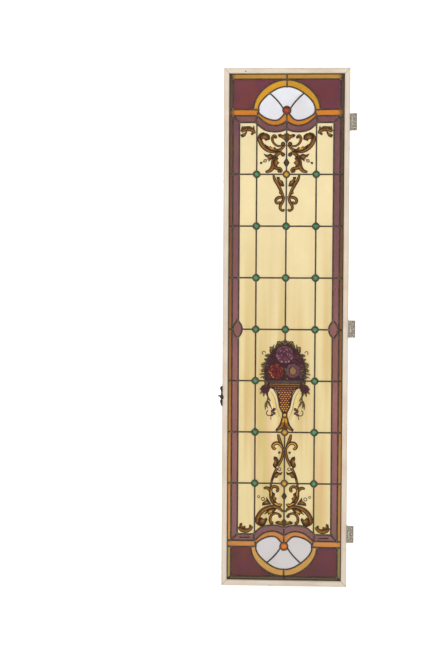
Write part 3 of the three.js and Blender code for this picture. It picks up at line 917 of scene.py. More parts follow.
TRACE = paint("paint_trace", (52, 32, 16), solid=0.94)
BROWN = paint("paint_brown", (92, 60, 24), solid=0.9)
STAIN = paint("paint_silver_stain", (140, 94, 34), solid=0.84)
HONEY = paint("paint_honey", (204, 152, 48), solid=0.75)
OLIVE = paint("paint_olive", (116, 96, 54), solid=0.84)
UMBER = paint("paint_umber", (56, 30, 32), solid=0.96)
PLUM = paint("paint_plum", (72, 36, 48), solid=0.95)
MAUVE = paint("paint_mauve", (96, 58, 70), solid=0.92)
PINK = paint("paint_pink", (148, 108, 116), solid=0.88)
CORAL = paint("paint_coral", (82, 26, 28), solid=0.94)
FLAME = paint("paint_flame", (104, 38, 34), solid=0.93)
SLATE = paint("paint_slate", (84, 68, 68), solid=0.92)
CANE = paint("paint_cane", (186, 128, 60), solid=0.86)
OCHRE = paint("paint_ochre", (132, 96, 62), solid=0.9)
WASH = paint("paint_wash", (214, 196, 138), solid=0.4, wear=0.08)


FINEST = 0.2  # millimetres, and square millimetres: no painted shape is smaller
CELL = 4  # millimetres, of the grid in which painted shapes are looked up


def area(outline):
    return sum(a.cross(b) for a, b in zip(outline, outline[1:] + outline[:1])) / 2


def bounds(outline):
    xs, ys = [p.x for p in outline], [p.y for p in outline]
    return (min(xs), min(ys)), (max(xs), max(ys))


class Painting:
    """Flat painted shapes in the order they are painted, from places as (x, drop below datum).

    Each shape is painted once for every side in sides, where -1 mirrors it.
    """

    def __init__(self):
        self.shapes = []
        self.sides = (1, -1)
        self.datum = 0
        self.cells = {}

    def patch(self, places, colour):
        for side in self.sides:
            points = [at(side * x, self.datum + drop) for x, drop in places]
            points = [p for i, p in enumerate(points) if (p - points[i - 1]).length > FINEST]
            if len(points) < 3 or abs(area(points)) < FINEST:
                continue
            (low_x, low_y), (high_x, high_y) = bounds(points)
            for i in range(int(low_x // CELL), int(high_x // CELL) + 1):
                for k in range(int(low_y // CELL), int(high_y // CELL) + 1):
                    self.cells.setdefault((i, k), []).append(len(self.shapes))
            self.shapes.append((points, colour))

    def stroke(self, places, widths, colour, lean=0.0, steps=5):
        """A brush stroke through the places. lean moves it sideways by a share of its width."""
        path = curve(places, steps)
        last = len(path) - 1
        rims = []
        for i, here in enumerate(path):
            along = (path[min(i + 1, last)] - path[max(i - 1, 0)]).normalized()
            share = i / last * (len(widths) - 1)
            low = min(int(share), len(widths) - 2)
            width = widths[low] + (widths[low + 1] - widths[low]) * (share - low)
            across = Vector((-along.y, along.x)) * width
            rims.append((here + across * (lean + 0.5), here + across * (lean - 0.5)))
        for (a, b), (c, d) in zip(rims, rims[1:]):
            self.patch((a, b, d, c), colour)

    def disc(self, centre, radius, colour, squash=1.0, sides=14):
        turns = (2 * math.pi * i / sides for i in range(sides))
        x, drop = centre
        self.patch(
            [(x + radius * math.cos(t), drop + radius * squash * math.sin(t)) for t in turns],
            colour,
        )

    def ring(self, centre, radius, width, colour, start=0, sweep=360):
        """An open or whole ring, its angles in degrees from the right, turning downwards."""
        x, drop = centre
        turns = [math.radians(start + sweep * i / 12) for i in range(13)]
        places = [(x + radius * math.cos(t), drop + radius * math.sin(t)) for t in turns]
        self.stroke(places, (width, width), colour, steps=2)

    def scroll(self, places, widths, fill=BROWN, shine=STAIN):
        """A dark stroke with a golden brown middle and a lighter line along one side of it."""
        inner = [max(1.35 * width - 2.0, 0.4) for width in widths]
        self.stroke(places, [width + 4.8 for width in inner], TRACE)
        self.stroke(places, inner, fill)
        self.stroke(places, [width * 0.35 for width in inner], shine, lean=0.4)

    def foliage(self, outline, fill=BROWN, shine=STAIN):
        """A lobed leaf: dark edge, golden brown inside and a lighter heart."""
        x = sum(p[0] for p in outline) / len(outline)
        drop = sum(p[1] for p in outline) / len(outline)
        for share, colour in ((1.2, TRACE), (0.8, fill), (0.38, shine)):
            self.patch(
                [(x + (px - x) * share, drop + (pd - drop) * share) for px, pd in outline], colour
            )

    def bud(self, centre, radius, fill=BROWN):
        self.disc(centre, radius, TRACE)
        self.disc(centre, radius * 0.55, fill)

    def over(self, outline):
        """The outlines of the shapes that may cover part of a pane."""
        (low_x, low_y), (high_x, high_y) = bounds(outline)
        found = []
        for points, _ in self.shapes:
            (x0, y0), (x1, y1) = bounds(points)
            if x0 < high_x and x1 > low_x and y0 < high_y and y1 > low_y:
                found.append(points)
        return found

    def colour_at(self, spot):
        """The paint that lies on top at a spot, or None where the glass is bare."""
        for index in reversed(self.cells.get((int(spot.x // CELL), int(spot.y // CELL)), ())):
            points, colour = self.shapes[index]
            if covers(points, spot):
                return colour
        return None


def top_scrollwork(art):
    """The ornament that hangs below the top swags, down to its tail in the second row."""
    art.datum = -6
    art.scroll(
        [(5, 287), (22, 304), (45, 311), (70, 305), (90, 288), (99, 268), (94, 254), (82, 252)],
        (3, 7, 9, 11, 11, 11, 13, 15),
    )
    art.foliage([(64, 266), (65, 254), (74, 247), (86, 246), (96, 252), (99, 262), (92, 268),
                 (84, 264), (78, 271), (70, 268)])
    art.foliage([(28, 309), (40, 301), (47, 295), (50, 300), (60, 292), (63, 297), (76, 286),
                 (73, 300), (60, 308), (44, 312)], shine=HONEY)
    art.scroll([(18, 291), (34, 291), (48, 280), (53, 265), (47, 254), (40, 258)], (3, 4, 5, 6, 7, 6))
    art.bud((40, 259), 6)
    art.bud((13, 284), 8.5)
    art.foliage([(0, 241), (6, 247), (14, 252), (22, 248), (30, 252), (26, 259), (17, 262),
                 (10, 268), (4, 277), (0, 281)])
    art.scroll(
        [(14, 317), (28, 318), (40, 329), (47, 347), (50, 367), (61, 382), (78, 387)],
        (5, 8, 10, 12, 12, 9, 3),
    )
    art.foliage([(40, 330), (30, 340), (35, 346), (27, 353), (34, 360), (32, 368), (44, 372),
                 (48, 350)])
    art.bud((13, 323), 8)
    art.scroll([(46, 368), (38, 374), (26, 374), (19, 381), (24, 390)], (7, 7, 7, 6, 4))
    art.bud((27, 383), 7)
    art.foliage([(49, 328), (60, 321), (70, 325), (82, 321), (76, 331), (67, 336), (66, 347),
                 (58, 340), (51, 338)])
    art.stroke([(68, 338), (75, 343), (88, 351), (95, 355)], (3, 2, 2, 2), TRACE)
    art.ring((79, 346), 5, 3, TRACE)
    art.disc((94, 354), 4.6, TRACE)
    art.patch([(0, 332), (12, 353), (0, 374), (-12, 353)], TRACE)
    art.patch([(0, 341), (6, 353), (0, 365), (-6, 353)], BROWN)
    art.scroll([(48, 398), (43, 415), (31, 434), (20, 456), (12, 476)], (3, 7, 8, 7, 6))
    art.foliage([(35, 408), (24, 408), (23, 416), (14, 421), (9, 437), (19, 438), (28, 427)])
    art.foliage([(24, 452), (27, 465), (21, 470), (16, 464)])
    art.scroll(
        [(9, 479), (18, 480), (30, 482), (38, 490), (36, 501), (27, 502), (24, 495)],
        (4, 6, 7, 7, 6, 5, 4),
    )
    art.scroll([(8, 476), (13, 496), (21, 510), (22, 523), (12, 530), (7, 524)], (5, 7, 7, 6, 5, 4))


def foot_scrollwork(art):
    """The ornament from the basket's foot down to the bottom swags."""
    art.datum = 0
    art.scroll([(24, 1354), (20, 1372), (12, 1392), (5, 1412)], (4, 8, 6, 4))
    art.scroll(
        [(9, 1404), (16, 1392), (27, 1387), (38, 1390), (44, 1400), (38, 1409), (33, 1404)],
        (4, 7, 8, 8, 7, 6, 4), shine=HONEY,
    )
    art.bud((19, 1423), 5)
    art.scroll([(5, 1412), (8, 1437), (16, 1458), (25, 1475)], (4, 6, 7, 5))
    art.foliage([(23, 1452), (29, 1443), (38, 1440), (40, 1449), (37, 1456), (42, 1466),
                 (40, 1474), (33, 1479), (27, 1470)])
    art.ring((18, 1485), 5.5, 3, TRACE)
    art.scroll([(27, 1480), (33, 1492), (39, 1506), (45, 1524), (50, 1549), (50, 1566)], (5, 6, 6, 5, 4, 4))
    art.foliage([(9, 1496), (18, 1500), (27, 1496), (37, 1500), (42, 1512), (43, 1524),
                 (34, 1516), (27, 1516), (22, 1508), (13, 1506)])
    art.scroll([(50, 1564), (45, 1553), (34, 1550), (25, 1555), (24, 1565), (31, 1568)],
               (5, 7, 7, 7, 6, 5))
    art.scroll([(50, 1572), (56, 1560), (66, 1555), (77, 1558)], (6, 8, 7, 3))
    art.scroll([(50, 1562), (48, 1586), (41, 1605), (29, 1618), (16, 1621), (12, 1613)],
               (6, 11, 12, 10, 7, 6), shine=HONEY)
    art.foliage([(42, 1574), (33, 1580), (36, 1588), (28, 1594), (32, 1602), (27, 1610),
                 (38, 1608), (46, 1590)])
    art.foliage([(50, 1616), (60, 1601), (66, 1592), (68, 1603), (79, 1611), (80, 1620), (66, 1618)])
    art.ring((79, 1597), 6, 3, TRACE)
    art.ring((95, 1589), 4, 2.5, TRACE)
    art.patch([(0, 1569), (11, 1586), (0, 1604), (-11, 1586)], TRACE)
    art.patch([(0, 1577), (5, 1586), (0, 1596), (-5, 1586)], BROWN)
    art.scroll(
        [(4, 1645), (17, 1632), (36, 1626), (60, 1630), (82, 1643), (97, 1664), (98, 1682),
         (86, 1690), (74, 1688)],
        (3, 7, 9, 10, 11, 11, 12, 13, 10),
    )
    art.foliage([(64, 1675), (68, 1668), (76, 1674), (84, 1667), (93, 1674), (94, 1688),
                 (84, 1695), (72, 1692)])
    art.foliage([(30, 1633), (46, 1631), (60, 1639), (73, 1655), (60, 1649), (57, 1656),
                 (47, 1647), (43, 1652)], shine=HONEY)
    art.scroll([(14, 1656), (32, 1650), (47, 1658), (52, 1673), (48, 1686), (39, 1685)],
               (4, 5, 6, 6, 7, 5))
    art.bud((15, 1661), 7)
    art.foliage([(0, 1667), (6, 1675), (12, 1682), (21, 1679), (31, 1684), (27, 1690),
                 (16, 1692), (8, 1695), (0, 1702)])


def side_sprigs(art):
    """The small crests in the outer columns, just inside the ends of the field."""
    art.scroll([(118, 240), (124, 229), (139, 222), (156, 224), (168, 233)], (4, 9, 12, 12, 5))
    art.foliage([(147, 231), (157, 238), (169, 244), (164, 253), (154, 249), (149, 240)])
    art.bud((128, 241), 5)
    art.stroke([(128, 1742), (166, 1742)], (4, 4), UMBER)
    for foot, out in ((124, -1), (134, 2), (145, -2), (156, 2), (166, -1)):
        leaf(art, (foot, 226), (foot + out, 211), 8, BROWN)
    art.scroll([(118, 1700), (127, 1711), (143, 1717), (159, 1713), (168, 1702)], (4, 9, 11, 10, 5))
    art.foliage([(144, 1710), (146, 1698), (154, 1702), (156, 1689), (164, 1692), (166, 1706)])
    art.bud((126, 1699), 5)


def leaf(art, root, tip, width, fill=OLIVE):
    """A pointed leaf, its dark edge closed round a paler middle."""
    (x0, d0), (x1, d1) = root, tip
    middle = (x0 + x1) / 2 + (d1 - d0) * 0.1, (d0 + d1) / 2 - (x1 - x0) * 0.1
    art.stroke([root, middle, tip], (width * 0.5, width, width * 0.8, 1), TRACE, steps=4)
    art.stroke([root, middle, tip], (0.4, width * 0.42, width * 0.3, 0.3), fill, steps=4)


def rose(art, centre, radius, deep, petal, light, turn=0.0):
    """An open cabbage rose: curled petals in rings round a tight heart."""
    x, drop = centre
    art.disc(centre, radius, UMBER, sides=20)
    art.disc(centre, radius * 0.94, deep, sides=20)
    for share, count, thick in ((0.78, 7, 0.24), (0.52, 5, 0.18), (0.28, 4, 0.13)):
        for i in range(count):
            mid = turn + share * 5 + 2 * math.pi * i / count
            half = math.pi / count * 0.88
            arc = [
                (
                    x + radius * (share + 0.06 * math.cos(k * 1.5)) * math.cos(mid + half * k),
                    drop + radius * (share + 0.06 * math.cos(k * 1.5)) * math.sin(mid + half * k),
                )
                for k in (-1, -0.5, 0, 0.5, 1)
            ]
            width = radius * thick
            art.stroke(arc, (width * 0.2, width, width * 1.1, width, width * 0.2), petal, steps=3)
            if math.sin(mid) < 0.3:  # light falls on the upper petals
                art.stroke(arc[1:4], (0.3, width * 0.3, 0.3), light, lean=-0.6, steps=3)


def flowers(art):
    """A heap of roses in a fringe of leaves, from places below the basket's row."""
    mound = [(-66, 6), (-74, -20), (-74, -52), (-62, -90), (-37, -122), (0, -138),
             (37, -122), (62, -90), (75, -52), (76, -18), (66, 6)]
    edge = curve([Vector(place) for place in mound], 6)
    for i in range(1, len(edge) - 1, 2):
        here, out = edge[i], edge[i] - Vector((0, -62))
        tilt = math.radians(chance.choice((-42, -26, 24, 40)))
        lean = Vector((math.cos(tilt) * out.x - math.sin(tilt) * out.y,
                       math.sin(tilt) * out.x + math.cos(tilt) * out.y)).normalized()
        tip = here + lean * chance.uniform(13, 20)
        leaf(art, here - lean * 8, tip, chance.uniform(7, 10))
    art.sides = (1, -1)
    leaf(art, (9, -128), (30, -147), 12)
    art.ring((22, -140), 7, 3.4, TRACE, start=150, sweep=270)
    art.ring((79, -104), 6, 3, TRACE, start=180, sweep=250)
    art.ring((83, -56), 5, 2.8, TRACE, start=200, sweep=230)
    art.sides = (1,)
    art.patch([tuple(place) for place in edge], UMBER)
    small = (
        ((-56, -74), 13, PLUM), ((-66, -40), 13, PLUM), ((-66, -12), 11, PLUM),
        ((44, -78), 19, PLUM), ((62, -50), 13, MAUVE), ((66, -20), 13, SLATE),
    )
    for place, radius, fill in small:
        rose(art, place, radius, UMBER, fill, MAUVE, turn=place[0])
    for root, tip in (((-24, -62), (-50, -56)), ((16, -62), (40, -58)), ((-2, -50), (4, -20)),
                      ((54, -34), (74, -40)), ((-62, -56), (-74, -66)), ((2, -12), (14, 2))):
        leaf(art, root, tip, 9)
    rose(art, (-2, -98), 34, PLUM, MAUVE, PINK)
    art.ring((-2, -96), 31, 5, MAUVE, start=200, sweep=140)
    for place in ((-28, -94), (-24, -84), (-12, -72), (2, -70), (14, -73), (24, -84)):
        art.disc(place, 4.4, MAUVE)
        art.disc(place, 3, PINK)
    rose(art, (29, -38), 27, SLATE, MAUVE, SLATE, turn=2.0)
    art.disc((28, -38), 14, UMBER, squash=1.2)
    art.disc((29, -38), 11.5, OCHRE, squash=1.25)
    art.disc((31, -42), 6, OCHRE, squash=1.3)
    rose(art, (-33, -35), 30, CORAL, FLAME, OCHRE, turn=1.0)
    for place in ((-50, -22), (-44, -14), (-53, -30)):
        art.disc(place, 3, OCHRE)
        art.disc(place, 1.8, HONEY)
    art.sides = (1, -1)


def basket(art):
    """A woven trumpet basket with a banded rim, a knop, and a gilded bell for a foot."""
    art.sides = (1,)
    art.patch([(-64, -4), (64, -4), (62, 22), (-62, 22)], UMBER)
    art.stroke([(-60, 3), (0, 4), (60, 3)], (6, 7, 6), SLATE)
    for i in range(-9, 10):
        x = i * 6.2
        art.stroke([(x - 2.6, 14), (x, 11), (x + 2.6, 14)], (3, 3.6, 3), OCHRE, steps=2)
    art.stroke([(-58, 19), (0, 20), (58, 19)], (2.6, 2.6, 2.6), STAIN)
    wall = [(50, 22), (38, 30), (30, 41), (25, 54), (22, 70), (20, 88), (17, 100), (11, 112),
            (5, 121)]
    body = wall + [(-x, drop) for x, drop in reversed(wall)]
    art.patch(body, PLUM)
    weave(art, wall)
    art.sides = (1, -1)
    art.stroke(wall, (3.4, 3.4, 3, 2.8, 2.6, 2.6, 2.4, 2, 1.6), TRACE)
    art.sides = (1,)
    art.disc((0, 127), 10, TRACE)
    art.disc((0, 127), 5.6, HONEY)
    bell = [(7, 133), (13, 139), (15, 148), (18, 158), (22, 167), (28, 175), (33, 179), (34, 184),
            (30, 187), (20, 185), (12, 180), (0, 179)]
    art.patch(bell + [(-x, drop) for x, drop in reversed(bell[:-1])], TRACE)
    art.patch([(x * share, drop) for share, side in ((0.82, bell), (-0.82, bell[::-1]))
               for x, drop in ((x, 2 + drop * 0.98) for x, drop in side)], BROWN)
    art.sides = (1, -1)
    art.stroke([(3, 139), (5, 151), (9, 163), (18, 175), (29, 182)], (6, 9, 9, 7, 4), STAIN)
    art.stroke([(4, 139), (5, 147), (7, 155)], (6, 8, 4), HONEY)
    art.stroke([(11, 147), (14, 159), (19, 169), (28, 178)], (1.5, 2, 2, 1.2), BROWN)
    art.stroke([(0, 152), (0, 160), (1, 167)], (3, 5, 3), CORAL)


def weave(art, wall):
    """Crossing canes inside the wall, red brown near the rim and golden below."""
    down, across = 7.5, 13
    for row in range(12):
        drop = 28 + row * down
        reach = next(
            (x0 + (x1 - x0) * (drop - d0) / (d1 - d0)
             for (x0, d0), (x1, d1) in zip(wall, wall[1:]) if d0 <= drop < d1),
            0,
        ) - 3
        step = across * (0.6 + 0.4 * reach / wall[0][0])
        start = step / 2 if row % 2 else 0
        colour = OCHRE if row < 2 else CANE if row < 9 else HONEY
        w, h = step * 0.36, down * 0.42
        for k in range(int((reach - start) / step + 1) if reach > start else 0):
            x = start + k * step
            art.sides = (1, -1) if x else (1,)
            art.patch([(x - w, drop), (x, drop - h), (x + w, drop), (x, drop + h)], colour)
    art.sides = (1,)


def garlands(art):
    """Flowers and tendrils that trail from the basket's rim, and a shadow beside its body."""
    art.datum = MIDDLE_DROP + BASKET_ROW * ROW_PITCH
    art.sides = (1, -1)
    art.patch([(54, 37), (46, 46), (37, 62), (31, 82), (27, 102), (20, 120), (13, 138),
               (20, 150), (32, 132), (41, 106), (48, 80), (54, 56)], WASH)
    art.stroke([(54, 36), (43, 52), (35, 72), (31, 96), (24, 120), (14, 140)],
               (1, 2, 2.2, 2, 2, 1), OCHRE)
    for root, tip, width in (((72, 34), (93, 50), 11), ((70, 36), (80, 60), 10),
                             ((64, 34), (66, 58), 9), ((78, 26), (94, 34), 9)):
        leaf(art, root, tip, width)
    rose(art, (73, 30), 17, UMBER, PLUM, MAUVE, turn=0.4)
    rose(art, (62, 20), 12, UMBER, PLUM, MAUVE, turn=1.4)
    art.stroke([(64, 44), (64, 62), (63, 78), (54, 94), (45, 110)], (5, 4, 3.6, 3, 2.4), TRACE)
    leaf(art, (63, 70), (72, 110), 8)
    leaf(art, (60, 76), (50, 98), 8)
    leaf(art, (64, 56), (52, 76), 8)
    leaf(art, (66, 78), (63, 104), 6)
    art.ring((58, 120), 10, 3.4, TRACE, start=-70, sweep=260)
    art.stroke([(51, 126), (51, 136), (52, 144)], (2.4, 2.4, 4.4), TRACE)
    for place, radius in (((39, 106), 6), ((46, 113), 6), ((39, 121), 5.6), ((47, 127), 5)):
        art.disc(place, radius, UMBER)
        art.disc(place, radius * 0.5, MAUVE)


ornament = Painting()
top_scrollwork(ornament)
foot_scrollwork(ornament)
side_sprigs(ornament)
garlands(ornament)
flowers(ornament)
basket(ornament)

SMALLEST_PANE = 30  # square millimetres; anything less is where lines overlap


def pane_tone(name, middle):
    """How light a pane is. The side strips are lighter on the left."""
    tone = chance.uniform(-0.1, 0.1)
    if name.startswith("amber") and abs(middle.x) > BORDER_X:
        tone -= 0.25 * math.copysign(1, middle.x)
    return tone


def make_panes():
    lines = joined([points for points, _ in LINES] + [[*ring, ring[0]] for ring in RINGS])
    builds = {}
    for outline, middle in areas_between(lines):
        name = cad_pane_at(middle)
        if name is None or area(outline) < SMALLEST_PANE:
            continue
        outline = shrunk(outline, HEART / 2 + 0.2)
        build = builds.setdefault(name, Build())
        slab(
            build, outline, GLASS_FRONT, GLASS_BACK, glass_at(name, middle),
            pane_tone(name, middle), ornament,
        )
    slots = {"flower": "painted_glass", "basket": "painted_glass"}
    for name, build in builds.items():
        family = name.split("_")[0]
        made = build.piece(f"{name}_glass", slots.get(family, f"{family}_glass"))
        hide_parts(name)


make_panes()

# --- Roundels and jewels ----------------------------------------------------------------------

GREEN = glass("glass_green", (70, 140, 92), 0.6, mottle=0.5)
AMBER_DROP = glass("glass_amber_drop", (206, 150, 50), 0.6, mottle=0.5)
RED_JEWEL = glass("glass_red_jewel", (168, 60, 14), 0.6, mottle=0.5)
ORANGE_JEWEL = glass("glass_orange_jewel", (214, 120, 20), 0.6, mottle=0.4)


def glass_drop(build, x, z, radius, crown, finish, squareness, facets=24):
    """A pressed glass drop: darker towards its rim, domed at the front and gently at the back."""
    rings = ((1.0, 0.0), (0.82, 0.45), (0.55, 0.85), (0.28, 0.98))
    outline = [ring_line(x, z, radius * share, squareness, facets) for share, _ in rings]
    points, faces, tones = [], [], []
    for face, rise, order in ((GLASS_FRONT, -crown, 1), (GLASS_BACK, crown / 2, -1)):
        start = len(points)
        for ring, (_, share) in zip(outline, rings):
            points += [(p.x, face + rise * share, p.y) for p in ring]
        points.append((x, face + rise, z))
        for i, tone in enumerate((-0.6, -0.1, 0.15)):
            faces += ring_faces(start + i * facets, start + (i + 1) * facets, facets)
            tones += [tone] * facets
        last = start + (len(rings) - 1) * facets
        middle = last + facets
        faces += [(last + i, last + (i + 1) % facets, middle) for i in range(facets)]
        tones += [0.3] * facets
    faces += ring_faces(0, len(rings) * facets + 1, facets)
    tones += [-0.6] * facets
    build.add(points, faces, finish, tones)


def make_drops():
    green, amber, jewels = Build(), Build(), Build()
    for spot in ROUNDELS:
        is_amber = spot in AMBER_ROUNDELS
        glass_drop(amber if is_amber else green, *spot, ROUNDEL_RING - 0.8, 2.6,
                   AMBER_DROP if is_amber else GREEN, DIAMOND)
    for spot, finish in zip(JEWELS, (RED_JEWEL, ORANGE_JEWEL)):
        glass_drop(jewels, *spot, JEWEL_RING - 0.8, 4.0, finish, 2.0)
    green.piece("roundels_green", "green_glass", crease=50)
    amber.piece("roundels_amber", "amber_glass", crease=50)
    jewels.piece("jewels", "amber_glass", crease=20)


make_drops()

# --- Wood frame -------------------------------------------------------------------------------

UPRIGHT_PAINT = painted_wood("wood_upright", along=2)
LEVEL_PAINT = painted_wood("wood_level", along=0)


def dress_wood():
    for name in ("stile_hinge_side", "stile_latch_side", "rail_top", "rail_bottom"):
        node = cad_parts[name]
        node.data.materials.clear()
        node.data.materials.append(UPRIGHT_PAINT if name.startswith("stile") else LEVEL_PAINT)
        flatten = node.modifiers.new("flat_faces", "DECIMATE")
        flatten.decimate_type = "DISSOLVE"
        flatten.angle_limit = math.radians(1)
        arris = node.modifiers.new("soft_arrises", "BEVEL")
        arris.width = 1.2 * MM
        arris.segments = 3
        arris.limit_method = "ANGLE"
        arris.harden_normals = True


dress_wood()

# --- Hinges -----------------------------------------------------------------------------------

HINGE_HEIGHT = 64
HINGE_LEAF = 22  # from the pin to a leaf's free edge
SHEET = 1.8
KNUCKLE = 3.2  # radius
KNUCKLE_PITCH = HINGE_HEIGHT / 3
KNUCKLE_PLAY = 0.4
CORNER = 2.5  # radius of a leaf's free corners
SINK = dict(from_pin=14, pitch=21, hole=1.6, stain=4.2, head=3.9, neck=0.7)
SINK_SIDES = 20


HALF_TURN = 3.1  # of a screw's slot, in radians


def circle(centre, radius, sides=SINK_SIDES):
    turns = (2 * math.pi * i / sides for i in range(sides))
    return [centre + radius * Vector((math.cos(t), math.sin(t))) for t in turns]


def leaf_outline(knuckles):
    """A hinge leaf laid flat: u from the pin, v up, cut back round the other's knuckles."""
    half = HINGE_HEIGHT / 2
    inner = [
        i * KNUCKLE_PITCH - half + (KNUCKLE_PLAY if i in knuckles else -KNUCKLE_PLAY) / 2
        for i in (1, 2)
    ]
    steps = [-half, *inner, half]
    points = []
    for v, first in ((CORNER - half, -90), (half - CORNER, 0)):
        for i in range(7):
            turn = math.radians(first + 15 * i)
            outward = Vector((math.cos(turn), math.sin(turn)))
            points.append(Vector((HINGE_LEAF - CORNER, v)) + CORNER * outward)
    for index in (2, 1, 0):
        u = 0 if index in knuckles else KNUCKLE + KNUCKLE_PLAY
        points += [Vector((u, steps[index + 1])), Vector((u, steps[index]))]
    return points


def sunk_sheet(build, outline, outer, inner, plane):
    """A sheet with three screw holes, each in a dark rust-coloured ring outside, and countersunk inside."""
    spots = [Vector((SINK["from_pin"], i * SINK["pitch"])) for i in (-1, 0, 1)]
    narrow, stain, wide = (
        [circle(spot, SINK[size]) for spot in spots] for size in ("hole", "stain", "head")
    )
    points, faces, finishes, starts = [], [], [], []
    for depth, holes, marks in ((outer, narrow, stain), (inner, wide, [])):
        flat, triangles = triangles_between([outline, *holes, *marks])
        starts.append(len(points))
        for corners in triangles:
            middle = sum((flat[i] for i in corners), Vector((0, 0))) / 3
            if covers(outline, middle) and not any(covers(hole, middle) for hole in holes):
                faces.append([starts[-1] + i for i in corners])
                finishes.append(RUST if any(covers(mark, middle) for mark in marks) else STEEL)
        points += [plane(p.x, depth, p.y) for p in flat]
    added = ring_faces(starts[0], starts[1], len(outline))
    faces, finishes = faces + added, finishes + [STEEL] * len(added)
    for k, ring in enumerate(narrow):
        neck = len(points)
        points += [plane(p.x, outer + (inner - outer) * SINK["neck"] / SHEET, p.y) for p in ring]
        first = len(outline) + k * SINK_SIDES
        added = ring_faces(starts[0] + first, neck, SINK_SIDES)
        added += ring_faces(neck, starts[1] + first, SINK_SIDES)
        faces, finishes = faces + added, finishes + [RUST] * len(added)
    build.add(points, faces, finishes)


def knuckle(build, index, plane):
    """The edge of a leaf curled round the pin, with an open seam where the curl ends."""
    low = (index - 1.5) * KNUCKLE_PITCH + KNUCKLE_PLAY / 2
    high = low + KNUCKLE_PITCH - KNUCKLE_PLAY
    turns = [math.radians(-90 - 285 * i / 26) for i in range(27)]
    count = len(turns)
    section = [(KNUCKLE * math.cos(t), KNUCKLE * math.sin(t)) for t in turns]
    bore = KNUCKLE - SHEET
    section += [(bore * math.cos(t), bore * math.sin(t)) for t in reversed(turns)]
    points = [plane(u, w, v) for v in (low, high) for u, w in section]
    faces = ring_faces(0, 2 * count, 2 * count)
    for start in (0, 2 * count):
        last = start + 2 * count - 1
        faces += [(start + i, start + i + 1, last - i - 1, last - i) for i in range(count - 1)]
    build.add(points, faces, STEEL)


def lofted(build, rings, finish):
    """A closed shell through rings of points, each with as many points as the next."""
    size = len(rings[0])
    faces = []
    for k in range(len(rings) - 1):
        faces += ring_faces(k * size, (k + 1) * size, size)
    faces += [tuple(range(size)), tuple(range((len(rings) - 1) * size, len(rings) * size))]
    build.add([p for ring in rings for p in ring], faces, finish)


def hinge_pin(build, plane):
    half = HINGE_HEIGHT / 2
    bore = KNUCKLE - SHEET
    profile = ((bore, 1.0), (bore, 0.4), (bore * 0.8, 0.12), (bore * 0.4, 0.0))
    steps = [(r, end * (half - back)) for end, order in ((-1, -1), (1, 1)) for r, back in profile[::-order]]
    rings = [[plane(p.x, p.y, v) for p in circle(Vector((0, 0)), r * 0.95, 16)] for r, v in steps]
    lofted(build, rings, RUST)


def screw_head(build, centre, surface, outward, turn, plane, finish, radius=3.7):
    """A flat slotted head: two raised halves over a floor. outward is 1 or -1 along the depth."""
    floor = surface - outward * 0.5
    slab(build, circle(centre, radius - 0.05), floor - outward * 0.4, floor, finish, plane=plane)
    edge = math.asin(0.5 / radius)
    for start in (turn, turn + math.pi):
        steps = (start + edge + (math.pi - 2 * edge) * i / 10 for i in range(11))
        half = [centre + radius * Vector((math.cos(t), math.sin(t))) for t in steps]
        slab(build, half, floor - outward * 0.1, surface, finish, plane=plane)


def soften(piece, width, angle=40):
    arris = piece.modifiers.new("soft_edges", "BEVEL")
    arris.width = width * MM
    arris.segments = 2
    arris.limit_method = "ANGLE"
    arris.angle_limit = math.radians(angle)


def make_hinge(where):
    """Both leaves of a hinge: the loose one with the pin, and the one screwed to the stile."""
    low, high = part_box(f"hinge_jamb_leaf_{where}")
    x = (low.x - MIDDLE_X) / MM + KNUCKLE
    y = (low.y - WOOD_FRONT) / MM + KNUCKLE
    z = ((low.z + high.z) / 2 - MIDDLE_Z) / MM

    def along_front(u, w, v):
        return x + u, y + w, z + v

    def along_edge(u, w, v):
        return x + w, y + u, z + v

    for body, knuckles, plane, name in (
        ("jamb_hinge_leaves", (0, 2), along_front, "jamb"), ("casement", (1,), along_edge, "stile"),
    ):
        build = Build()
        sunk_sheet(build, leaf_outline(knuckles), -KNUCKLE, SHEET - KNUCKLE, plane)
        for index in knuckles:
            knuckle(build, index, plane)
        if name == "jamb":
            hinge_pin(build, plane)
        made = build.piece(f"hinge_{name}_leaf_{where}_steel", "steel", body)
        soften(made, 0.25)
        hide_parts(f"hinge_{name}_leaf_{where}")
    screws = Build()
    for i in (-1, 0, 1):
        centre = Vector((SINK["from_pin"], i * SINK["pitch"]))
        turn = chance.uniform(0, HALF_TURN)
        screw_head(screws, centre, SHEET - KNUCKLE - 0.1, 1, turn, along_edge, SCREW)
    screws.piece(f"hinge_screws_{where}", "steel")


for where in ("top", "middle", "bottom"):
    make_hinge(where)

# --- Latch and nail ---------------------------------------------------------------------------

LATCH_DROP = 1213
LATCH_EDGE = -LEAF_WIDTH / 2 - 0.3
LATCH_FRONT, LATCH_BACK = -3.0, 18.0
LATCH_OUTLINE = (
    (3, 38), (7.5, 34), (8.6, 28), (5, 17), (6, 3), (9.5, -4), (5, -11), (9, -18), (5.5, -31),
    (2.5, -38),
)
LATCH_BOSS = ((-5, 10), (3, 4), (5.6, 0), (6, -4), (5, -9), (-5, -15))
LATCH_SWELLS = (28, -19)
LATCH_LAP = 1.8  # over the front of the stile
LATCH_SCREW_RISE = 8.1  # from the edge of the leaf
STUB_REACH = 16


def rounded(count, power):
    """Half of a rounded square: (across, out), from -1 to 1 and from 0 to 1."""
    for i in range(count):
        turn = math.pi * i / (count - 1)
        c, s = math.cos(turn), math.sin(turn)
        yield -math.copysign(abs(c) ** (2 / power), c), s ** (2 / power)


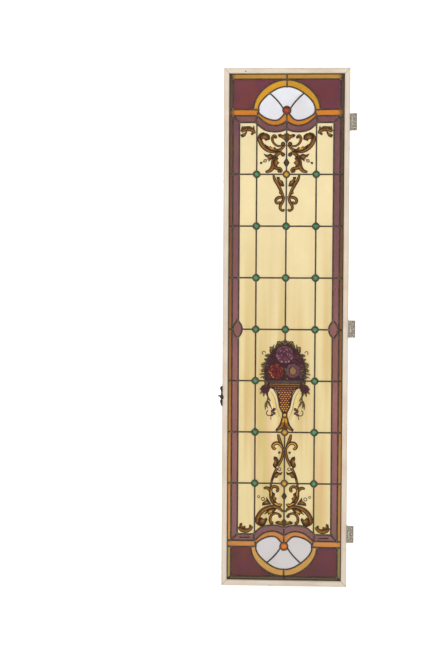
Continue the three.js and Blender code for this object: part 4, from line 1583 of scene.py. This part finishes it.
def make_latch():
    """The cast plate: a bar with three swellings, and a boss lapped over the stile's front."""
    build = Build()
    z0 = height_of(LATCH_DROP)
    centre, half = (LATCH_FRONT + LATCH_BACK) / 2, (LATCH_BACK - LATCH_FRONT) / 2
    top = LATCH_OUTLINE[0][1]
    rings = []
    for out, z in curve(LATCH_OUTLINE, 8):
        narrow = 1 - 0.4 * (abs(z) / top) ** 5
        rings.append([
            (LATCH_EDGE - rise * out * 0.94, centre + across * half * narrow, z0 + z)
            for across, rise in rounded(15, 2.8)
        ])
    lofted(build, rings, BRONZE)
    lap = [Vector(p) for p in LATCH_BOSS]
    middle = sum(lap, Vector((0, 0))) / len(lap)
    steps = ((1.0, -0.3), (1.0, -1.2), (0.84, -2.4), (0.5, -3.0))
    lofted(build, [
        [(LATCH_EDGE + p.x, y, z0 + p.y) for p in (middle + (q - middle) * share for q in lap)]
        for share, y in steps
    ], BRONZE)

    def along_edge(u, w, v):
        return LATCH_EDGE - w, u, z0 + v

    strip = []
    for z in (-37.5, -36, -28, 0, 28, 36, 37.5):
        reach = LATCH_LAP * (1 - 0.5 * (abs(z) / top) ** 6)
        low, high = LATCH_EDGE - 2.5, LATCH_EDGE + reach
        face = LATCH_FRONT * (1 - 0.3 * (abs(z) / top) ** 8)
        strip.append([(x, y, z0 + z) for x, y in (
            (low, face), (high - 0.5, face), (high, face + 0.5), (high, -0.3), (low, -0.3))])
    lofted(build, strip, BRONZE)

    for z in LATCH_SWELLS:
        turn = chance.uniform(0, HALF_TURN)
        screw_head(
            build, Vector((centre, z)), LATCH_SCREW_RISE, 1, turn, along_edge, SCREW, radius=3.0
        )
    made = build.piece("latch_casting", "bronze", crease=50)
    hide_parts("latch_plate")


def make_stub():
    """The steel tongue in the latch plate, its lower face sloped."""
    build = Build()
    z0, y0 = height_of(LATCH_DROP), LATCH_BACK / 2
    rings = []
    for out, low, high, deep in ((3, -3.1, 3.1, 3.1), (8, -3.1, 3.1, 3.1), (13, -2.1, 3.1, 3.0),
                                 (15.2, -1.5, 2.8, 2.7), (STUB_REACH, -0.6, 2.0, 2.0)):
        ring = []
        for sign in (1, -1):
            for across, rise in list(rounded(9, 5))[:-1]:
                ring.append((
                    LATCH_EDGE - out,
                    y0 + sign * deep * across,
                    z0 + (low + high) / 2 + sign * rise * (high - low) / 2,
                ))
        rings.append(ring)
    lofted(build, rings, STUB_STEEL)
    made = build.piece("latch_tongue", "steel", crease=30)
    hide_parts("latch_stub")


def make_nail():
    """A nail head in the front of the top rail."""
    build = Build()
    spot = at(-152, 13)
    rings = [
        [(p.x, y, p.y) for p in circle(spot, radius, 16)]
        for radius, y in ((2.4, 0.5), (2.4, -0.2), (2.0, -0.6), (1.0, -0.8))
    ]
    lofted(build, rings, RUST)
    build.piece("rail_nail", "steel", crease=50)


make_latch()
make_stub()
make_nail()

# --- Stage, light and camera ------------------------------------------------------------------


def make_stage():
    """A pale floor that curves up all round, far outside every camera."""
    finish = Finish("stage_white", roughness=0.9)
    finish.colour((0.9, 0.89, 0.88, 1))
    finish.shader.inputs["Emission Color"].default_value = (1, 1, 1, 1)
    finish.shader.inputs["Emission Strength"].default_value = 0.45
    floor_z = LATCH_STILE[0].z - MM
    reach, curl = 9.0, 3.0
    profile = [(0.0, 0.0), (3.0, 0.0), (6.0, 0.0)]
    profile += [
        (reach + curl * math.sin(math.radians(a)), curl * (1 - math.cos(math.radians(a))))
        for a in range(0, 91, 10)
    ]
    profile.append((reach + curl, 7.0))
    sides = 64
    points = [
        (r * math.cos(2 * math.pi * i / sides), r * math.sin(2 * math.pi * i / sides), floor_z + z)
        for r, z in profile[1:]
        for i in range(sides)
    ]
    faces = [
        face for k in range(len(profile) - 2) for face in ring_faces((k + 1) * sides, k * sides, sides)
    ]
    faces.append(tuple(range(sides)))
    mesh = bpy.data.meshes.new("stage_floor")
    mesh.from_pydata(points, [], faces)
    mesh.materials.append(finish.material)
    mesh.polygons.foreach_set("use_smooth", [True] * len(faces))
    floor = bpy.data.objects.new("stage_floor", mesh)
    bpy.context.scene.collection.objects.link(floor)


def soft_light(name, place, power, size):
    """A square softbox that faces the middle of the leaf."""
    lamp = bpy.data.lights.new(name, "AREA")
    lamp.energy, lamp.size = power, size
    holder = bpy.data.objects.new(name, lamp)
    holder.location = place
    holder.rotation_euler = (Vector((MIDDLE_X, 0, 0)) - Vector(place)).to_track_quat("-Z", "Y").to_euler()
    bpy.context.scene.collection.objects.link(holder)


def make_camera():
    """Five metres in front, a little above the leaf's middle, and turned a little to its left."""
    aside, above = -257, 15
    stand = in_model(0, -5000, 190)
    aim = in_model(aside, 0, above)
    lens = bpy.data.cameras.new("camera")
    lens.sensor_width = 36
    lens.lens = 75
    camera = bpy.data.objects.new("camera", lens)
    camera.location = stand
    turn = (aim - stand).to_track_quat("-Z", "Y").to_euler()
    camera.rotation_euler = Euler((turn.x, turn.y, turn.z))
    camera.rotation_euler.rotate_axis("Z", math.radians(0.3))
    bpy.context.scene.collection.objects.link(camera)
    bpy.context.scene.camera = camera


make_stage()
soft_light("key", (-2.6, -3.4, 2.2), 40, 2.0)
soft_light("fill", (2.8, -3.0, 1.0), 16, 2.5)
soft_light("back", (0.8, 3.6, 2.4), 24, 2.5)
world = bpy.data.worlds.new("world")
world.use_nodes = True
world.node_tree.nodes["Background"].inputs["Color"].default_value = (1, 1, 1, 1)
world.node_tree.nodes["Background"].inputs["Strength"].default_value = 0.55
bpy.context.scene.world = world
bpy.context.scene.view_settings.view_transform = "Standard"
make_camera()
